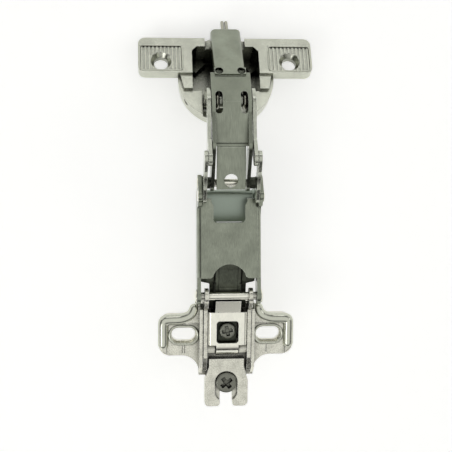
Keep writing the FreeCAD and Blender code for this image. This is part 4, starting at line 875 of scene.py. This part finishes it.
class HINGE_OT_studio(bpy.types.Operator):
    """Pale floor, soft light and the camera of the photograph"""
    bl_idname = "hinge.studio"
    bl_label = "Studio"

    def execute(self, context):
        self.make_floor(context)
        self.make_sky(context)
        self.make_boxes(context)
        self.make_camera(context)
        context.scene.view_settings.view_transform = "Standard"
        return {"FINISHED"}

    def make_floor(self, context):
        """A sheet just under the lowest point that curls up far behind: its height is the square
        of the distance past the flat part, times the curl."""
        n = FLOOR_POINTS
        line = np.linspace(-FLOOR_HALF, FLOOR_HALF, n)
        x, y = np.meshgrid(line, line, indexing="ij")
        past = np.clip(np.hypot(x, y) - FLOOR_FLAT, 0, None)
        z = CAD_BOX[0][2] - FLOOR_GAP + FLOOR_CURL * past ** 2
        verts = np.stack([x, y, z], axis=-1).reshape(-1, 3)
        i, j = np.meshgrid(np.arange(n - 1), np.arange(n - 1), indexing="ij")
        a = (i * n + j).ravel()
        faces = np.stack([a, a + n, a + n + 1, a + 1], axis=-1)
        mesh = bpy.data.meshes.new("studio_floor")
        mesh.from_pydata(verts.tolist(), [], faces.tolist())
        mesh.polygons.foreach_set("use_smooth", np.ones(len(mesh.polygons), bool))
        floor = bpy.data.objects.new("studio_floor", mesh)
        context.scene.collection.objects.link(floor)
        # Matt white paper: even and soft, a touch lighter where the eye or a metal sees it.
        mat = bpy.data.materials.new("matt_studio_paper")
        mat.use_nodes = True
        tree = mat.node_tree
        tree.nodes.clear()
        tint = list(context.scene.hinge_finish.floor) + [1.0]
        paper = add(tree, "ShaderNodeBsdfDiffuse", None, {"Color": tint})
        path = add(tree, "ShaderNodeLightPath")
        seen = add(tree, "ShaderNodeMath", {"operation": "MAXIMUM"},
                   {0: path.outputs["Is Camera Ray"], 1: path.outputs["Is Glossy Ray"]})
        lift = add(tree, "ShaderNodeMath", {"operation": "MULTIPLY"},
                   {0: seen.outputs[0], 1: FLOOR_GLOW})
        glow = add(tree, "ShaderNodeEmission", None,
                   {"Color": [1.0, 1.0, 1.0, 1.0], "Strength": lift.outputs[0]})
        both = add(tree, "ShaderNodeAddShader", None, {0: paper.outputs[0], 1: glow.outputs[0]})
        add(tree, "ShaderNodeOutputMaterial", None, {"Surface": both.outputs[0]})
        mesh.materials.append(mat)

    def make_sky(self, context):
        """A sky that is bright overhead, dark in a wide belt and a little lighter again at the
        horizon, which draws the dark and bright lines on rounded metal edges."""
        world = context.scene.world or bpy.data.worlds.new("studio_sky")
        context.scene.world = world
        world.use_nodes = True
        tree = world.node_tree
        tree.nodes.clear()
        ray = add(tree, "ShaderNodeTexCoord").outputs["Generated"]
        split = add(tree, "ShaderNodeSeparateXYZ", None, {0: ray})
        overhead, horizon = (
            add(tree, "ShaderNodeMapRange", {"interpolation_type": "SMOOTHSTEP"},
                {"Value": split.outputs["Z"], "From Min": start, "From Max": end,
                 "To Min": first, "To Max": last})
            for start, end, first, last in SKY_BELTS)
        level = add(tree, "ShaderNodeMath", {"operation": "ADD"},
                    {0: overhead.outputs[0], 1: horizon.outputs[0]})
        path = add(tree, "ShaderNodeLightPath")
        shown = add(tree, "ShaderNodeMix", {"data_type": "FLOAT"},
                    {"Factor": path.outputs["Is Camera Ray"], "A": level.outputs[0], "B": 1.0})
        sky = add(tree, "ShaderNodeBackground", None,
                  {"Color": SKY_TINT, "Strength": shown.outputs[0]})
        add(tree, "ShaderNodeOutputWorld", None, {"Surface": sky.outputs[0]})

    def make_boxes(self, context):
        """Three soft boxes. A box's power is its radiance times pi times its area."""
        for name, place, wide, tall, radiance in LIGHT_BOXES:
            lamp = bpy.data.lights.new(name, "AREA")
            lamp.shape = "RECTANGLE"
            lamp.size = wide
            lamp.size_y = tall
            lamp.energy = radiance * math.pi * wide * tall
            box = bpy.data.objects.new(name, lamp)
            box.location = LIT_MIDDLE + Vector(place)
            box.rotation_euler = Vector(place).to_track_quat("Z", "Y").to_euler()
            context.scene.collection.objects.link(box)

    def make_camera(self, context):
        """The camera's directions are the plate's, tilted towards the cup, then leant to the
        left and rolled."""
        tilt = math.radians(CAMERA_TILT)
        lean = math.radians(CAMERA_LEAN)
        base_x = Vector((1.0, 0.0, 0.0))
        base_y = Vector((0.0, math.cos(tilt), -math.sin(tilt)))
        base_z = Vector((0.0, math.sin(tilt), math.cos(tilt)))
        back = base_z * math.cos(lean) - base_x * math.sin(lean)
        right = base_x * math.cos(lean) + base_z * math.sin(lean)
        turn = Matrix((right, base_y, back)).transposed() @ Matrix.Rotation(
            math.radians(CAMERA_ROLL), 3, "Z")
        lens = bpy.data.cameras.new("photo_camera")
        lens.sensor_width = CAMERA_SENSOR
        lens.lens = CAMERA_SENSOR * FOCAL_PIXELS / FRAME_PIXELS
        camera = bpy.data.objects.new("photo_camera", lens)
        place = CAMERA_TARGET + back * CAMERA_DISTANCE
        camera.matrix_world = Matrix.Translation(place) @ turn.to_4x4()
        context.scene.collection.objects.link(camera)
        context.scene.camera = camera


OPERATORS = (HINGE_OT_cast_pieces, HINGE_OT_pressed_pieces, HINGE_OT_plain_pins,
             HINGE_OT_riveted_pins, HINGE_OT_screws, HINGE_OT_lever_spring, HINGE_OT_arm_insert,
             HINGE_OT_tilt_lever_web, HINGE_OT_casting_beads, HINGE_OT_studio)


class HINGE_PT_panel(bpy.types.Panel):
    """Lists the hinge's finishes, sizes and pieces"""
    bl_label = "Cup hinge"
    bl_idname = "HINGE_PT_panel"
    bl_space_type = "VIEW_3D"
    bl_region_type = "UI"
    bl_category = "Cup hinge"

    def draw(self, context):
        for group in (context.scene.hinge_finish, context.scene.hinge_sizes):
            for key in group.__annotations__:
                self.layout.prop(group, key)
        for operator in OPERATORS:
            self.layout.operator(operator.bl_idname)


CLASSES = (HingeFinish, HingeSizes) + OPERATORS + (HINGE_PT_panel,)


def register():
    for item in CLASSES:
        bpy.utils.register_class(item)
    bpy.types.Scene.hinge_finish = bpy.props.PointerProperty(type=HingeFinish)
    bpy.types.Scene.hinge_sizes = bpy.props.PointerProperty(type=HingeSizes)


def unregister():
    del bpy.types.Scene.hinge_sizes
    del bpy.types.Scene.hinge_finish
    for item in reversed(CLASSES):
        bpy.utils.unregister_class(item)


def main():
    register()
    bpy.ops.hinge.cast_pieces()
    bpy.ops.hinge.pressed_pieces()
    bpy.ops.hinge.plain_pins()
    bpy.ops.hinge.riveted_pins()
    bpy.ops.hinge.screws()
    bpy.ops.hinge.lever_spring()
    bpy.ops.hinge.arm_insert()
    bpy.ops.hinge.tilt_lever_web()
    bpy.ops.hinge.casting_beads()
    bpy.ops.hinge.studio()


if __name__ == "__main__":
    main()
